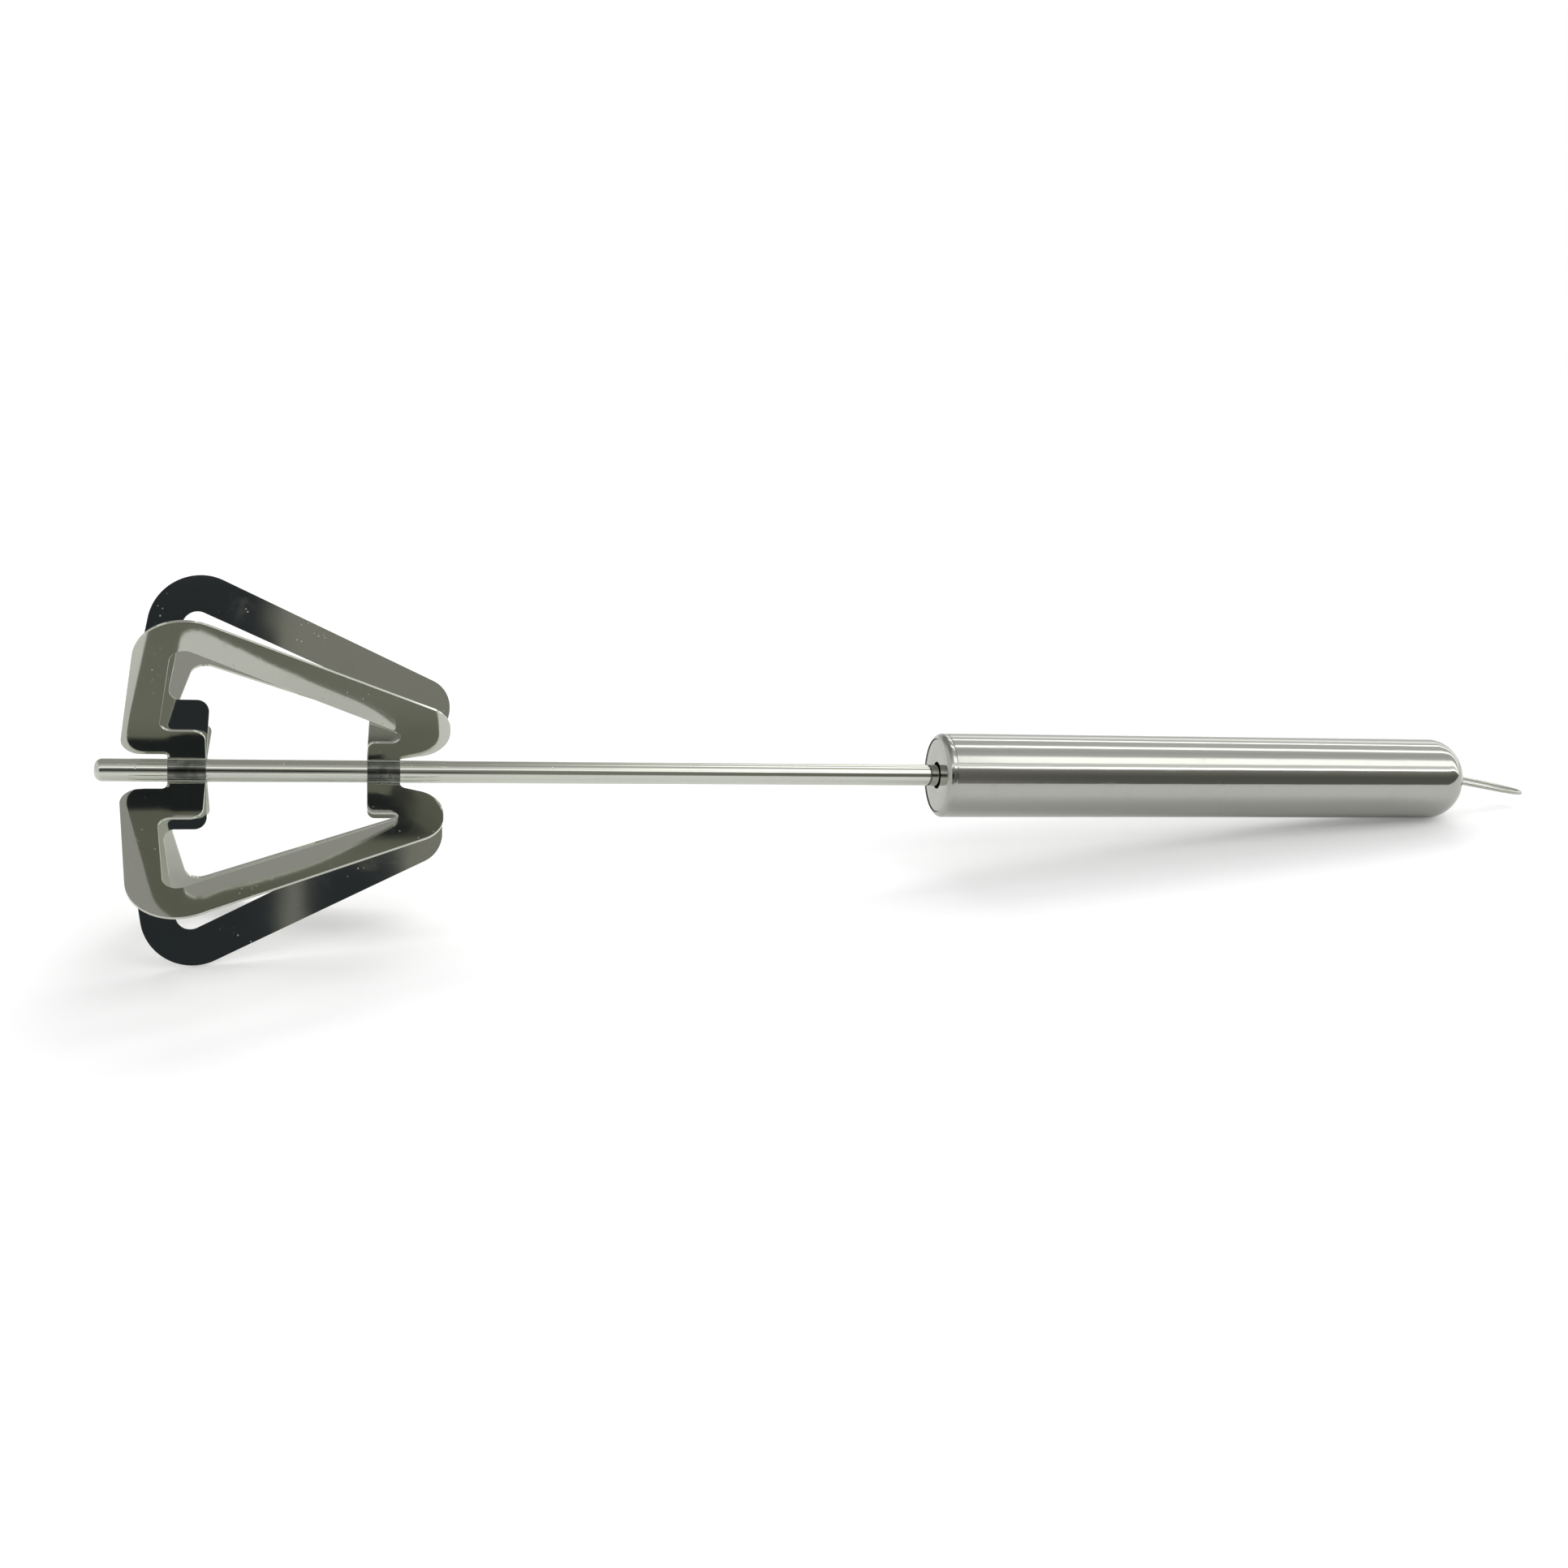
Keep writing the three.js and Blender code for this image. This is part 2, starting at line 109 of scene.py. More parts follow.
# %% Shader helpers
def add(tree, kind, settings=None, **sockets):
    """A node with its properties set; a socket value that is itself a socket is linked."""
    node = tree.nodes.new("ShaderNode" + kind)
    for key, value in (settings or {}).items():
        setattr(node, key, value)
    for key, value in sockets.items():
        plug(tree, node.inputs[key.replace("_", " ")], value)
    return node


def plug(tree, socket, value):
    if isinstance(value, bpy.types.NodeSocket):
        tree.links.new(value, socket)
    else:
        socket.default_value = value


def calc(tree, operation, *values, clamp=False):
    """A Math node's result; each value is a number or a socket."""
    node = add(tree, "Math", {"operation": operation, "use_clamp": clamp})
    for socket, value in zip(node.inputs, values):
        plug(tree, socket, value)
    return node.outputs[0]


def rest_of(tree, value):
    """What is left of 1."""
    return calc(tree, "SUBTRACT", 1.0, value)


def total(tree, *values):
    """The sum of (socket, factor) pairs and plain numbers."""
    amount = 0.0
    for value in values:
        if isinstance(value, tuple):
            value = calc(tree, "MULTIPLY", *value)
        amount = calc(tree, "ADD", amount, value)
    return amount


def grey(value):
    return (value, value, value, 1)


def ramp(tree, value, stops):
    """A colour ramp of (position, grey or colour) stops."""
    node = add(tree, "ValToRGB", Fac=value)
    elements = node.color_ramp.elements
    while len(elements) < len(stops):
        elements.new(0.5)
    for element, (position, colour) in zip(elements, stops):
        element.position = position
        element.color = colour if isinstance(colour, tuple) else grey(colour)
    return node.outputs["Color"]


def rise(tree, value, low, high):
    """0 below low and 1 above high, with a soft change between them."""
    settings = {"interpolation_type": "SMOOTHSTEP"}
    return add(tree, "MapRange", settings, Value=value, From_Min=low, From_Max=high).outputs["Result"]


def band(tree, value, low, high, soft):
    """1 between low and high, fading to 0 just outside them."""
    return calc(tree, "SUBTRACT", rise(tree, value, low - soft, low), rise(tree, value, high, high + soft))


def mix(tree, factor, first, second, blend="MIX"):
    """Two colours mixed: the first at factor 0, the second at factor 1."""
    node = add(tree, "Mix", {"data_type": "RGBA", "blend_type": blend}, Factor=factor)
    plug(tree, node.inputs["A"], first)
    plug(tree, node.inputs["B"], second)
    return node.outputs["Result"]


# %% [markdown]
# Polished metal shows its surroundings, so the surroundings are most of its look. The churner lay on a
# white table. Above and behind it were a pale ceiling with bright strips of light, and in front the room
# was dark. The world paints that ring by the angle around the churner's length: 0 is the horizon in front,
# a quarter is halfway up in front, a half is straight up and 1 is the horizon behind. The room isn't the
# same at both ends. What the wings mirror lies to the left and was dim, what the handle mirrors lies to the
# right, under the lights. So there are two rings, and the direction along X fades one into the other. Far
# to the right, where only the handle's dome looks, the right ring is spread, to bend its bands less.

# %% World: two rings
LEFT_ROOM = [
    (0.0, 0.36), (0.03, 0.34), (0.055, 0.26), (0.128, 0.27), (0.175, 0.3), (0.205, 0.36), (0.245, 0.45),
    (0.262, 1.9), (0.285, 1.9), (0.3, 0.9), (0.428, 0.55), (0.544, 0.36), (0.617, 0.4), (0.678, 0.4),
    (0.85, 0.36), (0.95, 0.8),
]
RIGHT_ROOM = [
    (0.0, 0.18), (0.11, 0.165), (0.16, 0.24), (0.207, 0.37), (0.222, 0.8), (0.229, 3.8), (0.243, 3.8),
    (0.257, 1.2), (0.305, 1.2), (0.315, 2.4), (0.4, 2.4), (0.433, 0.88), (0.5, 0.73), (0.548, 0.78),
    (0.575, 1.0), (0.59, 3.4), (0.607, 3.4), (0.63, 0.9), (0.69, 0.85), (0.742, 0.9), (0.75, 3.4),
    (0.764, 3.4), (0.78, 0.9), (0.82, 0.95), (0.86, 1.8), (0.885, 1.4), (0.93, 0.8), (1.0, 0.7),
]
SIDES_MEET = (0.1, 0.35)
DOME_SIDE = (0.65, 1.05)
DOME_CENTRE = 0.133
DOME_SPREAD = 0.4

world = bpy.data.worlds.new("studio")
world.use_nodes = True
bpy.context.scene.world = world
tree = world.node_tree
tree.nodes.clear()
direction = add(tree, "TexCoord").outputs["Generated"]
parts = add(tree, "SeparateXYZ", Vector=direction)
across = parts.outputs["X"]
front = calc(tree, "MULTIPLY", parts.outputs["Y"], -1.0)
turn_up = calc(tree, "ABSOLUTE", calc(tree, "ARCTAN2", parts.outputs["Z"], front))
ring = calc(tree, "DIVIDE", turn_up, math.pi)
spread = rest_of(tree, calc(tree, "MULTIPLY", rise(tree, across, *DOME_SIDE), DOME_SPREAD))
dome_ring = total(tree, DOME_CENTRE, (calc(tree, "SUBTRACT", ring, DOME_CENTRE), spread))
right_room = ramp(tree, dome_ring, RIGHT_ROOM)
room = mix(tree, rise(tree, across, *SIDES_MEET), ramp(tree, ring, LEFT_ROOM), right_room)
print("rings of", len(LEFT_ROOM), "and", len(RIGHT_ROOM), "stops")

# %% [markdown]
# Straight in front, where the camera stood, the room was nearly black. The two wings in the middle mirror
# that dark gap: it has a slanted edge, and beside it stands a second dark bar with a slit of light between.
# A grey room has colour too, bluish in the dark and a little olive in between. Only mirrors see this tint,
# so that the white table stays white.

# %% World: the dark gap and the tint
# a band is its low end, its high end and how softly it ends
GAP_RING = (0.083, 0.161, 0.008)
GAP_SLANT = 0.24
GAP_LEVEL = 0.079
GAP_SOFT = 0.006
BAR_RING = (0.065, 0.11, 0.012)
BAR_ACROSS = (0.022, 0.065, 0.008)
DARK_GREY = 0.034
SIDE_LIGHT = (0.45, 0.75)
SIDE_GREY = 0.85
TINTS = [
    (0.0, (0.78, 1.0, 1.3, 1)), (0.12, (1.0, 1.0, 0.9, 1)), (0.28, (1.02, 1.0, 0.92, 1)),
    (0.45, (1.02, 1.0, 1.0, 1)), (1.0, (1, 1, 0.99, 1)),
]

slant = calc(tree, "MULTIPLY", calc(tree, "SUBTRACT", ring, GAP_LEVEL), GAP_SLANT)
beside = calc(tree, "SUBTRACT", across, slant)
within = rest_of(tree, rise(tree, beside, -GAP_SOFT, GAP_SOFT))
gap = calc(tree, "MULTIPLY", within, band(tree, ring, *GAP_RING))
bar = calc(tree, "MULTIPLY", band(tree, across, *BAR_ACROSS), band(tree, ring, *BAR_RING))
room = mix(tree, calc(tree, "MAXIMUM", gap, bar), room, grey(DARK_GREY))
leftwards = calc(tree, "MULTIPLY", across, -1.0)
room = mix(tree, rise(tree, leftwards, *SIDE_LIGHT), room, grey(SIDE_GREY))
tinted = mix(tree, 1.0, room, ramp(tree, room, TINTS), "MULTIPLY")
light_path = add(tree, "LightPath")
seen = mix(tree, light_path.outputs["Is Glossy Ray"], room, tinted)
seen = mix(tree, light_path.outputs["Is Camera Ray"], seen, grey(1))
background = add(tree, "Background", Color=seen, Strength=1.0)
tree.links.new(background.outputs[0], add(tree, "OutputWorld").inputs["Surface"])
print("the gap spans", GAP_RING[:2], "of the ring")

# %% [markdown]
# The table is one white sheet. A diffuse white alone renders a little grey, so a faint glow that only the
# camera and the mirrors see lifts it to paper white and leaves the soft shadows in it. Further off it fades
# to pure white, so that no line shows where the table ends.

# %% Table
TABLE_SIZE = 6
TABLE_WHITE = 0.86
TABLE_GLOW = 0.18
MIRRORED_GLOW = 0.04
TABLE_FADE = (0.3, 0.8)

bm = bmesh.new()
bmesh.ops.create_grid(bm, x_segments=1, y_segments=1, size=TABLE_SIZE / 2)
table = bpy.data.objects.new("table", bpy.data.meshes.new("table"))
bm.to_mesh(table.data)
bm.free()
bpy.context.scene.collection.objects.link(table)
paper = bpy.data.materials.new("white_paper")
paper.use_nodes = True
tree = paper.node_tree
tree.nodes.clear()
light_path = add(tree, "LightPath")
viewed = light_path.outputs["Is Camera Ray"]
mirrored = light_path.outputs["Is Glossy Ray"]
glow = add(tree, "Emission", Strength=total(tree, (viewed, TABLE_GLOW), (mirrored, MIRRORED_GLOW)))
lit = add(tree, "AddShader")
tree.links.new(add(tree, "BsdfDiffuse", Color=grey(TABLE_WHITE)).outputs[0], lit.inputs[0])
tree.links.new(glow.outputs[0], lit.inputs[1])
off = add(tree, "VectorMath", {"operation": "LENGTH"})
plug(tree, off.inputs[0], add(tree, "TexCoord").outputs["Object"])
far_off = rise(tree, off.outputs["Value"], *TABLE_FADE)
fade = add(tree, "MixShader", Fac=calc(tree, "MULTIPLY", viewed, far_off))
tree.links.new(lit.outputs[0], fade.inputs[1])
tree.links.new(add(tree, "Emission", Strength=1.0).outputs[0], fade.inputs[2])
tree.links.new(fade.outputs[0], add(tree, "OutputMaterial").inputs["Surface"])
table.data.materials.append(paper)
print("table", TABLE_SIZE, "m square")

# %% [markdown]
# One large lamp high behind the churner throws the soft shadow that falls towards the camera. The metal
# doesn't mirror it, because the world's rings already hold the strips of light that it shows.

# %% Lamp
LAMP_PLACE = Vector((0.15, 0.9, 1.1))
LAMP_SIZE = (1.2, 0.6)
LAMP_POWER = 7.5

lamp = bpy.data.objects.new("back_lamp", bpy.data.lights.new("back_lamp", "AREA"))
lamp.data.shape = "RECTANGLE"
lamp.data.size, lamp.data.size_y = LAMP_SIZE
lamp.data.energy = LAMP_POWER
aim = (-LAMP_PLACE).to_track_quat("-Z", "Y").to_matrix().to_4x4()
lamp.matrix_world = Matrix.Translation(LAMP_PLACE) @ aim
lamp.visible_glossy = False
bpy.context.scene.collection.objects.link(lamp)
bpy.context.scene.view_settings.view_transform = "Standard"
print("lamp of", LAMP_POWER, "W,", round(LAMP_PLACE.length, 2), "m away")

# %% [markdown]
# Steel is never one grey. It carries the marks of how it was made and used, and several pieces here share
# them, so each kind of mark is a node group, built once and set differently in each metal. Inside a group,
# a Mapping node undoes the tilt at which the churner lies, so that its X runs along the shaft, in
# millimetres.


# %% A new node group
def mark_group(name, inputs, outputs):
    """A group of float sockets: its tree, its input sockets and its output sockets."""
    tree = bpy.data.node_groups.new(name, "ShaderNodeTree")
    for label, value in inputs.items():
        socket = tree.interface.new_socket(label, in_out="INPUT", socket_type="NodeSocketFloat")
        socket.default_value = value
    for label in outputs:
        tree.interface.new_socket(label, in_out="OUTPUT", socket_type="NodeSocketFloat")
    print("group", name, "takes", list(inputs))
    return tree, tree.nodes.new("NodeGroupInput").outputs, tree.nodes.new("NodeGroupOutput").inputs


def along_shaft(tree):
    """Object coordinates turned so that X runs along the shaft, in millimetres."""
    level = Matrix.Rotation(-tilt, 3, "Y")
    mapping = add(tree, "Mapping", Vector=add(tree, "TexCoord").outputs["Object"])
    mapping.inputs["Scale"].default_value = (1 / MM,) * 3
    mapping.inputs["Rotation"].default_value = (0, -tilt, 0)
    mapping.inputs["Location"].default_value = -(level @ tip) / MM
    return mapping.outputs["Vector"]


def shaft_reach(tree, place):
    """The distance from the shaft's line, from the outputs of separated coordinates."""
    return calc(tree, "SQRT", calc(tree, "ADD", *(
        calc(tree, "MULTIPLY", place[side], place[side]) for side in "YZ"
    )))


def triple(tree, x, y, z):
    """Three values as one vector."""
    return add(tree, "CombineXYZ", X=x, Y=y, Z=z).outputs[0]


def noise(tree, vector, sizes, kind="TexNoise", **sockets):
    """Noise whose lumps are as large as the sizes along the three coordinates."""
    divide = add(tree, "VectorMath", {"operation": "DIVIDE"})
    plug(tree, divide.inputs[0], vector)
    plug(tree, divide.inputs[1], sizes)
    return add(tree, kind, Vector=divide.outputs["Vector"], Scale=1.0, **sockets)


# %% [markdown]
# Drawing and polishing leave fine lines along a tube, a wire or a sheet. Noise that is stretched over a
# hundred times along the shaft looks like them on any surface that runs that way, and it has no seam.

# %% Group: drawn lines
lines_group, given, result = mark_group("drawn_lines", {"Length": 20.0, "Width": 0.12}, ["Lines"])
sizes = triple(lines_group, given["Length"], given["Width"], given["Width"])
drawn = noise(lines_group, along_shaft(lines_group), sizes, Detail=3.0, Roughness=0.6)
lines_group.links.new(drawn.outputs["Fac"], result["Lines"])

# %% [markdown]
# Hands leave smudges: soft patches with broken edges, where the metal mirrors less sharply.

# %% Group: smudges
SMUDGE_EDGE = 0.22

smudge_group, given, result = mark_group("smudges", {"Size": 9.0, "Cover": 0.5}, ["Smudge"])
sizes = triple(smudge_group, given["Size"], given["Size"], given["Size"])
coordinates = along_shaft(smudge_group)
patches = noise(smudge_group, coordinates, sizes, Detail=5.0, Roughness=0.62, Distortion=0.6)
level = rest_of(smudge_group, given["Cover"])
smudged = rise(smudge_group, patches.outputs["Fac"], level, calc(smudge_group, "ADD", level, SMUDGE_EDGE))
smudge_group.links.new(smudged, result["Smudge"])

# %% [markdown]
# Use leaves scratches, thin and straight, in a few directions, and a few pits. On a wing they have to lie
# in its plane, so this group works with the distance along the shaft, the distance from it and the angle
# around it. Each direction is one layer of stretched noise, of which only the peaks count. A low Amount
# leaves only a few.

# %% Group: scratches
SCRATCH_TURNS = (14, -31, 72)
SCRATCH_LONG = 8
SCRATCH_WIDE = 0.07
SCRATCH_LEVEL = 0.86
SCRATCH_GAIN = 0.3
SCRATCH_EDGE = 0.06
PLATE_SPACING = 40

scratch_group, given, result = mark_group("scratches", {"Amount": 0.3}, ["Scratches", "Pits"])
place = add(scratch_group, "SeparateXYZ", Vector=along_shaft(scratch_group)).outputs
angle = calc(scratch_group, "ARCTAN2", place["Z"], place["Y"])
spaced = calc(scratch_group, "MULTIPLY", angle, PLATE_SPACING)
plate = triple(scratch_group, place["X"], shaft_reach(scratch_group, place), spaced)
gain = calc(scratch_group, "MULTIPLY", given["Amount"], SCRATCH_GAIN)
low = calc(scratch_group, "SUBTRACT", SCRATCH_LEVEL, gain)
high = calc(scratch_group, "ADD", low, SCRATCH_EDGE)
scratches = 0.0
for degrees in SCRATCH_TURNS:
    aimed = add(scratch_group, "Mapping", Vector=plate, Rotation=(0, 0, math.radians(degrees))).outputs[0]
    sizes = (SCRATCH_LONG, SCRATCH_WIDE, PLATE_SPACING)
    layer = noise(scratch_group, aimed, sizes, Detail=1.0, Roughness=0.5)
    peaks = rise(scratch_group, layer.outputs["Fac"], low, high)
    scratches = calc(scratch_group, "MAXIMUM", scratches, peaks)
scratch_group.links.new(scratches, result["Scratches"])

# %% [markdown]
# A pit is the middle of a Voronoi cell. Most cells stay clean: slower noise picks the patches that are
# pitted. This fills the second output of the same group.

# %% Same group: pits
PITS_APART = 1.3
PIT_EDGE = (0.06, 0.13)
PIT_PATCHES = 9
PIT_COVER = (0.55, 0.62)

cells = noise(scratch_group, plate, (PITS_APART, PITS_APART, PLATE_SPACING), "TexVoronoi")
patch = noise(scratch_group, plate, (PIT_PATCHES, PIT_PATCHES, PLATE_SPACING), Detail=2.0)
spots = rest_of(scratch_group, rise(scratch_group, cells.outputs["Distance"], *PIT_EDGE))
pits = calc(scratch_group, "MULTIPLY", spots, rise(scratch_group, patch.outputs["Fac"], *PIT_COVER))
scratch_group.links.new(pits, result["Pits"])
print("pits", PITS_APART, "mm apart")

# %% [markdown]
# Thin sheet and tube are never quite flat or straight either. Slow waves of a few hundredths of a
# millimetre bend what they mirror, and that is what tells polished steel from chrome paint.

# %% Group: waves
wave_group, given, result = mark_group("waves", {"Size": 18.0, "Height": 0.03}, ["Height"])
sizes = triple(wave_group, given["Size"], given["Size"], given["Size"])
swell = noise(wave_group, along_shaft(wave_group), sizes, Detail=1.0, Roughness=0.4)
wave_group.links.new(calc(wave_group, "MULTIPLY", swell.outputs["Fac"], given["Height"]), result["Height"])

# %% [markdown]
# The two near wings stand at a right angle, like the corner of a mirrored box, and such a corner sends
# every ray straight back to the camera. Hand bending left them a few degrees off, and not by the same
# amount all along. The solids keep the plain angle, and this group turns what each wing mirrors: a height
# that grows with the distance from the shaft tips the surface. It is told which side of which wing it is on
# by the surface's normal.

# %% Group: bow of the near wings
BOW_RISES = (28, 58)
UPPER_STARTS = (11, 16)
LOWER_STARTS = (6, 6)
BOW_SOFT = 7
FACES_IT = (0.9, 0.97)
NEAR_WINGS = (-22.5, 67.5)
BOW_SLOPES = {"Upper Front": 0.081, "Upper Rear": 0.067, "Lower Front": 0.052, "Lower Rear": 0.09}

bow_group, given, result = mark_group("bow", BOW_SLOPES, ["Height"])
place = add(bow_group, "SeparateXYZ", Vector=along_shaft(bow_group)).outputs
reach = shaft_reach(bow_group, place)
back = rise(bow_group, place["X"], *BOW_RISES)
facing = add(bow_group, "TexCoord").outputs["Normal"]


def tipped(front_slope, rear_slope, starts, facing_angle):
    """One wing's height: plus on the side that faces into the corner, minus on the other, 0 elsewhere."""
    dot = add(bow_group, "VectorMath", {"operation": "DOT_PRODUCT"})
    plug(bow_group, dot.inputs[0], facing)
    plug(bow_group, dot.inputs[1], around(facing_angle))
    value = dot.outputs["Value"]
    flat = rise(bow_group, calc(bow_group, "ABSOLUTE", value), *FACES_IT)
    side = calc(bow_group, "MULTIPLY", calc(bow_group, "SIGN", value), flat)
    slope = total(bow_group, front_slope, (back, calc(bow_group, "SUBTRACT", rear_slope, front_slope)))
    start = total(bow_group, starts[0], (back, starts[1] - starts[0]))
    beyond = calc(bow_group, "SMOOTH_MAX", reach, start, BOW_SOFT)
    risen = calc(bow_group, "SUBTRACT", beyond, start)
    return calc(bow_group, "MULTIPLY", calc(bow_group, "MULTIPLY", side, slope), risen)


upper = tipped(given["Upper Front"], given["Upper Rear"], UPPER_STARTS, NEAR_WINGS[0])
lower = tipped(given["Lower Front"], given["Lower Rear"], LOWER_STARTS, NEAR_WINGS[1])
bow_group.links.new(calc(bow_group, "ADD", upper, lower), result["Height"])

# %% [markdown]
# The near frame's straps were spot welded to the shaft. Deep between the two wings they mirror little light,
# so a painted shade darkens their colour there and ends at the bends. It is a mask by the distance from the
# shaft, with a broken edge.

# %% Group: painted shade on the straps
# painted shade on the straps: how far from the shaft it reaches, its colour, the size of its blotches, and
# how unevenly it darkens
STRAP_SHADE_REACH = (3.42, 3.75)
STRAP_SHADE_COLOUR = (0.085, 0.09, 0.08, 1)
STRAP_SHADE_BLOTCH = 2
STRAP_SHADE_LEAST = 0.62
STRAP_SHADE_UNEVEN = 0.6

strap_shade_group, given, result = mark_group("painted_strap_shade", {"Strength": 1.0}, ["Film"])
coordinates = along_shaft(strap_shade_group)
place = add(strap_shade_group, "SeparateXYZ", Vector=coordinates).outputs
# painted shade: darkest close to the shaft, where the straps lie between the wings
near = rest_of(strap_shade_group, rise(strap_shade_group, shaft_reach(strap_shade_group, place), *STRAP_SHADE_REACH))
blotches = noise(strap_shade_group, coordinates, (STRAP_SHADE_BLOTCH,) * 3, Detail=3.0)
uneven = total(strap_shade_group, STRAP_SHADE_LEAST, (blotches.outputs["Fac"], STRAP_SHADE_UNEVEN))
painted_shade = calc(strap_shade_group, "MULTIPLY", near, uneven)
painted_shade = calc(strap_shade_group, "MULTIPLY", painted_shade, given["Strength"], clamp=True)
strap_shade_group.links.new(painted_shade, result["Film"])
print("groups:", [group.name for group in bpy.data.node_groups])

# %% [markdown]
# Every steel is then one Principled shader with full metallic. What differs is how it was finished: the
# sheet and the rod are polished almost to a mirror, the tube and the wire are satin. The marks go to the
# roughness, darken the colour a little, and press into the surface through a Bump whose distance is one
# millimetre.


# %% Steel
def use(tree, group, **sockets):
    """The outputs of a group's node, with numbers at its inputs."""
    node = tree.nodes.new("ShaderNodeGroup")
    node.node_tree = group
    for key, value in sockets.items():
        node.inputs[key].default_value = value
    return node.outputs


SMUDGES_DARKEN = 0.12
LINES_DARKEN = 0.1
# how much each darkens, how high it stands in millimetres, and how much rougher it is
WEAR = {"Scratches": (0.15, -0.003, 0.06), "Pits": (0.6, -0.03, 0.2)}
WORN_SHARE = 0.72
STRAP_SHADE_ROUGH = 0.08


def steel(name, colour, rough, lines, waves, smudge, scratch=0.0, bowed=False):
    """Steel of a colour and roughness, with its drawn lines, waves, smudges and scratches.

    lines: length, width, depth and added roughness. waves: size and height.
    smudge: size, cover and added roughness. scratch: amount. bowed: the near wings' bow and the straps'
    painted shade too.
    """
    material = bpy.data.materials.new(name)
    material.use_nodes = True
    tree = material.node_tree
    shader = tree.nodes["Principled BSDF"]
    shader.inputs["Metallic"].default_value = 1
    drawn = use(tree, lines_group, Length=lines[0], Width=lines[1])["Lines"]
    hands = use(tree, smudge_group, Size=smudge[0], Cover=smudge[1])["Smudge"]
    swell = use(tree, wave_group, Size=waves[0], Height=waves[1])["Height"]
    marks = [(hands, SMUDGES_DARKEN), (drawn, LINES_DARKEN)]
    height = [swell, (drawn, lines[2])]
    finish = [rough, (drawn, lines[3]), (hands, smudge[2])]
    if scratch:
        wear = use(tree, scratch_group, Amount=scratch)
        for mark, shares in WEAR.items():
            for sums, share in zip((marks, height, finish), shares):
                sums.append((wear[mark], share))
    worn = tuple(WORN_SHARE * value for value in colour)
    tone = mix(tree, total(tree, *marks), (*colour, 1), (*worn, 1))
    if bowed:
        height.append(use(tree, bow_group)["Height"])
        # painted shade: the straps' colour is darkened where they lie deep between the wings and the shaft
        painted_shade = use(tree, strap_shade_group)["Film"]
        tone = mix(tree, painted_shade, tone, STRAP_SHADE_COLOUR)
        finish.append((painted_shade, STRAP_SHADE_ROUGH))
    plug(tree, shader.inputs["Base Color"], tone)
    plug(tree, shader.inputs["Roughness"], total(tree, *finish))
    bump = add(tree, "Bump", Height=total(tree, *height), Distance=MM, Strength=1.0)
    plug(tree, shader.inputs["Normal"], bump.outputs["Normal"])
    return material


# %% [markdown]
# A metal's base colour is how much light it gives back. In the photograph the satin pieces are darker than
# the polished sheet, so theirs is lower. The sheet has two materials, and only the near frame's has the bow
# and the painted shade on its straps.

# %% The steels of this churner
STEEL = (0.59, 0.605, 0.54)
TUBE_STEEL = (0.42, 0.425, 0.392)
DISC_STEEL = (0.39, 0.4, 0.355)
WIRE_STEEL = (0.46, 0.47, 0.42)
SHEET_FINISH = {
    "rough": 0.04, "lines": (14, 0.2, 0.0004, 0.02), "waves": (16, 0.04), "smudge": (8, 0.45, 0.04),
    "scratch": 0.12,
}
ROD_FINISH = {
    "rough": 0.06, "lines": (30, 0.12, 0.0008, 0.05), "waves": (20, 0.02), "smudge": (10, 0.5, 0.06),
    "scratch": 0.12,
}
TUBE_FINISH = {
    "rough": 0.06, "lines": (25, 0.14, 0.001, 0.04), "waves": (10, 0.035), "smudge": (7, 0.5, 0.07),
}
DISC_FINISH = {
    "rough": 0.1, "lines": (1.5, 0.3, 0.0006, 0.05), "waves": (8, 0.01), "smudge": (6, 0.5, 0.05),
}
WIRE_FINISH = {
    "rough": 0.14, "lines": (8, 0.08, 0.001, 0.1), "waves": (10, 0.01), "smudge": (4, 0.5, 0.08),
}

sheet_steel = steel("polished_sheet", STEEL, **SHEET_FINISH)
near_steel = steel("polished_bowed_sheet", STEEL, **SHEET_FINISH, bowed=True)
rod_steel = steel("polished_rod", STEEL, **ROD_FINISH)
tube_steel = steel("satin_tube", TUBE_STEEL, **TUBE_FINISH)
disc_steel = steel("satin_disc", DISC_STEEL, **DISC_FINISH)
wire_steel = steel("drawn_wire", WIRE_STEEL, **WIRE_FINISH)
print("sheet:", sheet_steel.name, "and", near_steel.name, "tube:", tube_steel.name)

# %% [markdown]
# The bush, the nut and the plug are black nylon: matt, with the fine grain of its mould and grey rub marks.

# %% Nylon
NYLON_BLACK = (0.008, 0.009, 0.011, 1)
NYLON_RUBBED = (0.03, 0.031, 0.033, 1)
NYLON_ROUGH = 0.42
GRAIN_SIZE = 0.25
GRAIN_HIGH = 0.02
GRAIN_ROUGH = 0.15
RUB_SIZE = 3.0
RUB_COVER = 0.42
RUB_SHARE = 0.6
RUB_ROUGH = 0.1

nylon = bpy.data.materials.new("black_nylon")
nylon.use_nodes = True
tree = nylon.node_tree
shader = tree.nodes["Principled BSDF"]
grain = noise(tree, along_shaft(tree), (GRAIN_SIZE,) * 3, Detail=3.0).outputs["Fac"]
rubbed = use(tree, smudge_group, Size=RUB_SIZE, Cover=RUB_COVER)["Smudge"]
colour = mix(tree, calc(tree, "MULTIPLY", rubbed, RUB_SHARE), NYLON_BLACK, NYLON_RUBBED)
plug(tree, shader.inputs["Base Color"], colour)
rough = total(tree, NYLON_ROUGH, (grain, GRAIN_ROUGH), (rubbed, RUB_ROUGH))
plug(tree, shader.inputs["Roughness"], rough)
bump = add(tree, "Bump", Height=calc(tree, "MULTIPLY", grain, GRAIN_HIGH), Distance=MM)
plug(tree, shader.inputs["Normal"], bump.outputs["Normal"])
print("nylon is", NYLON_ROUGH, "rough before its marks")

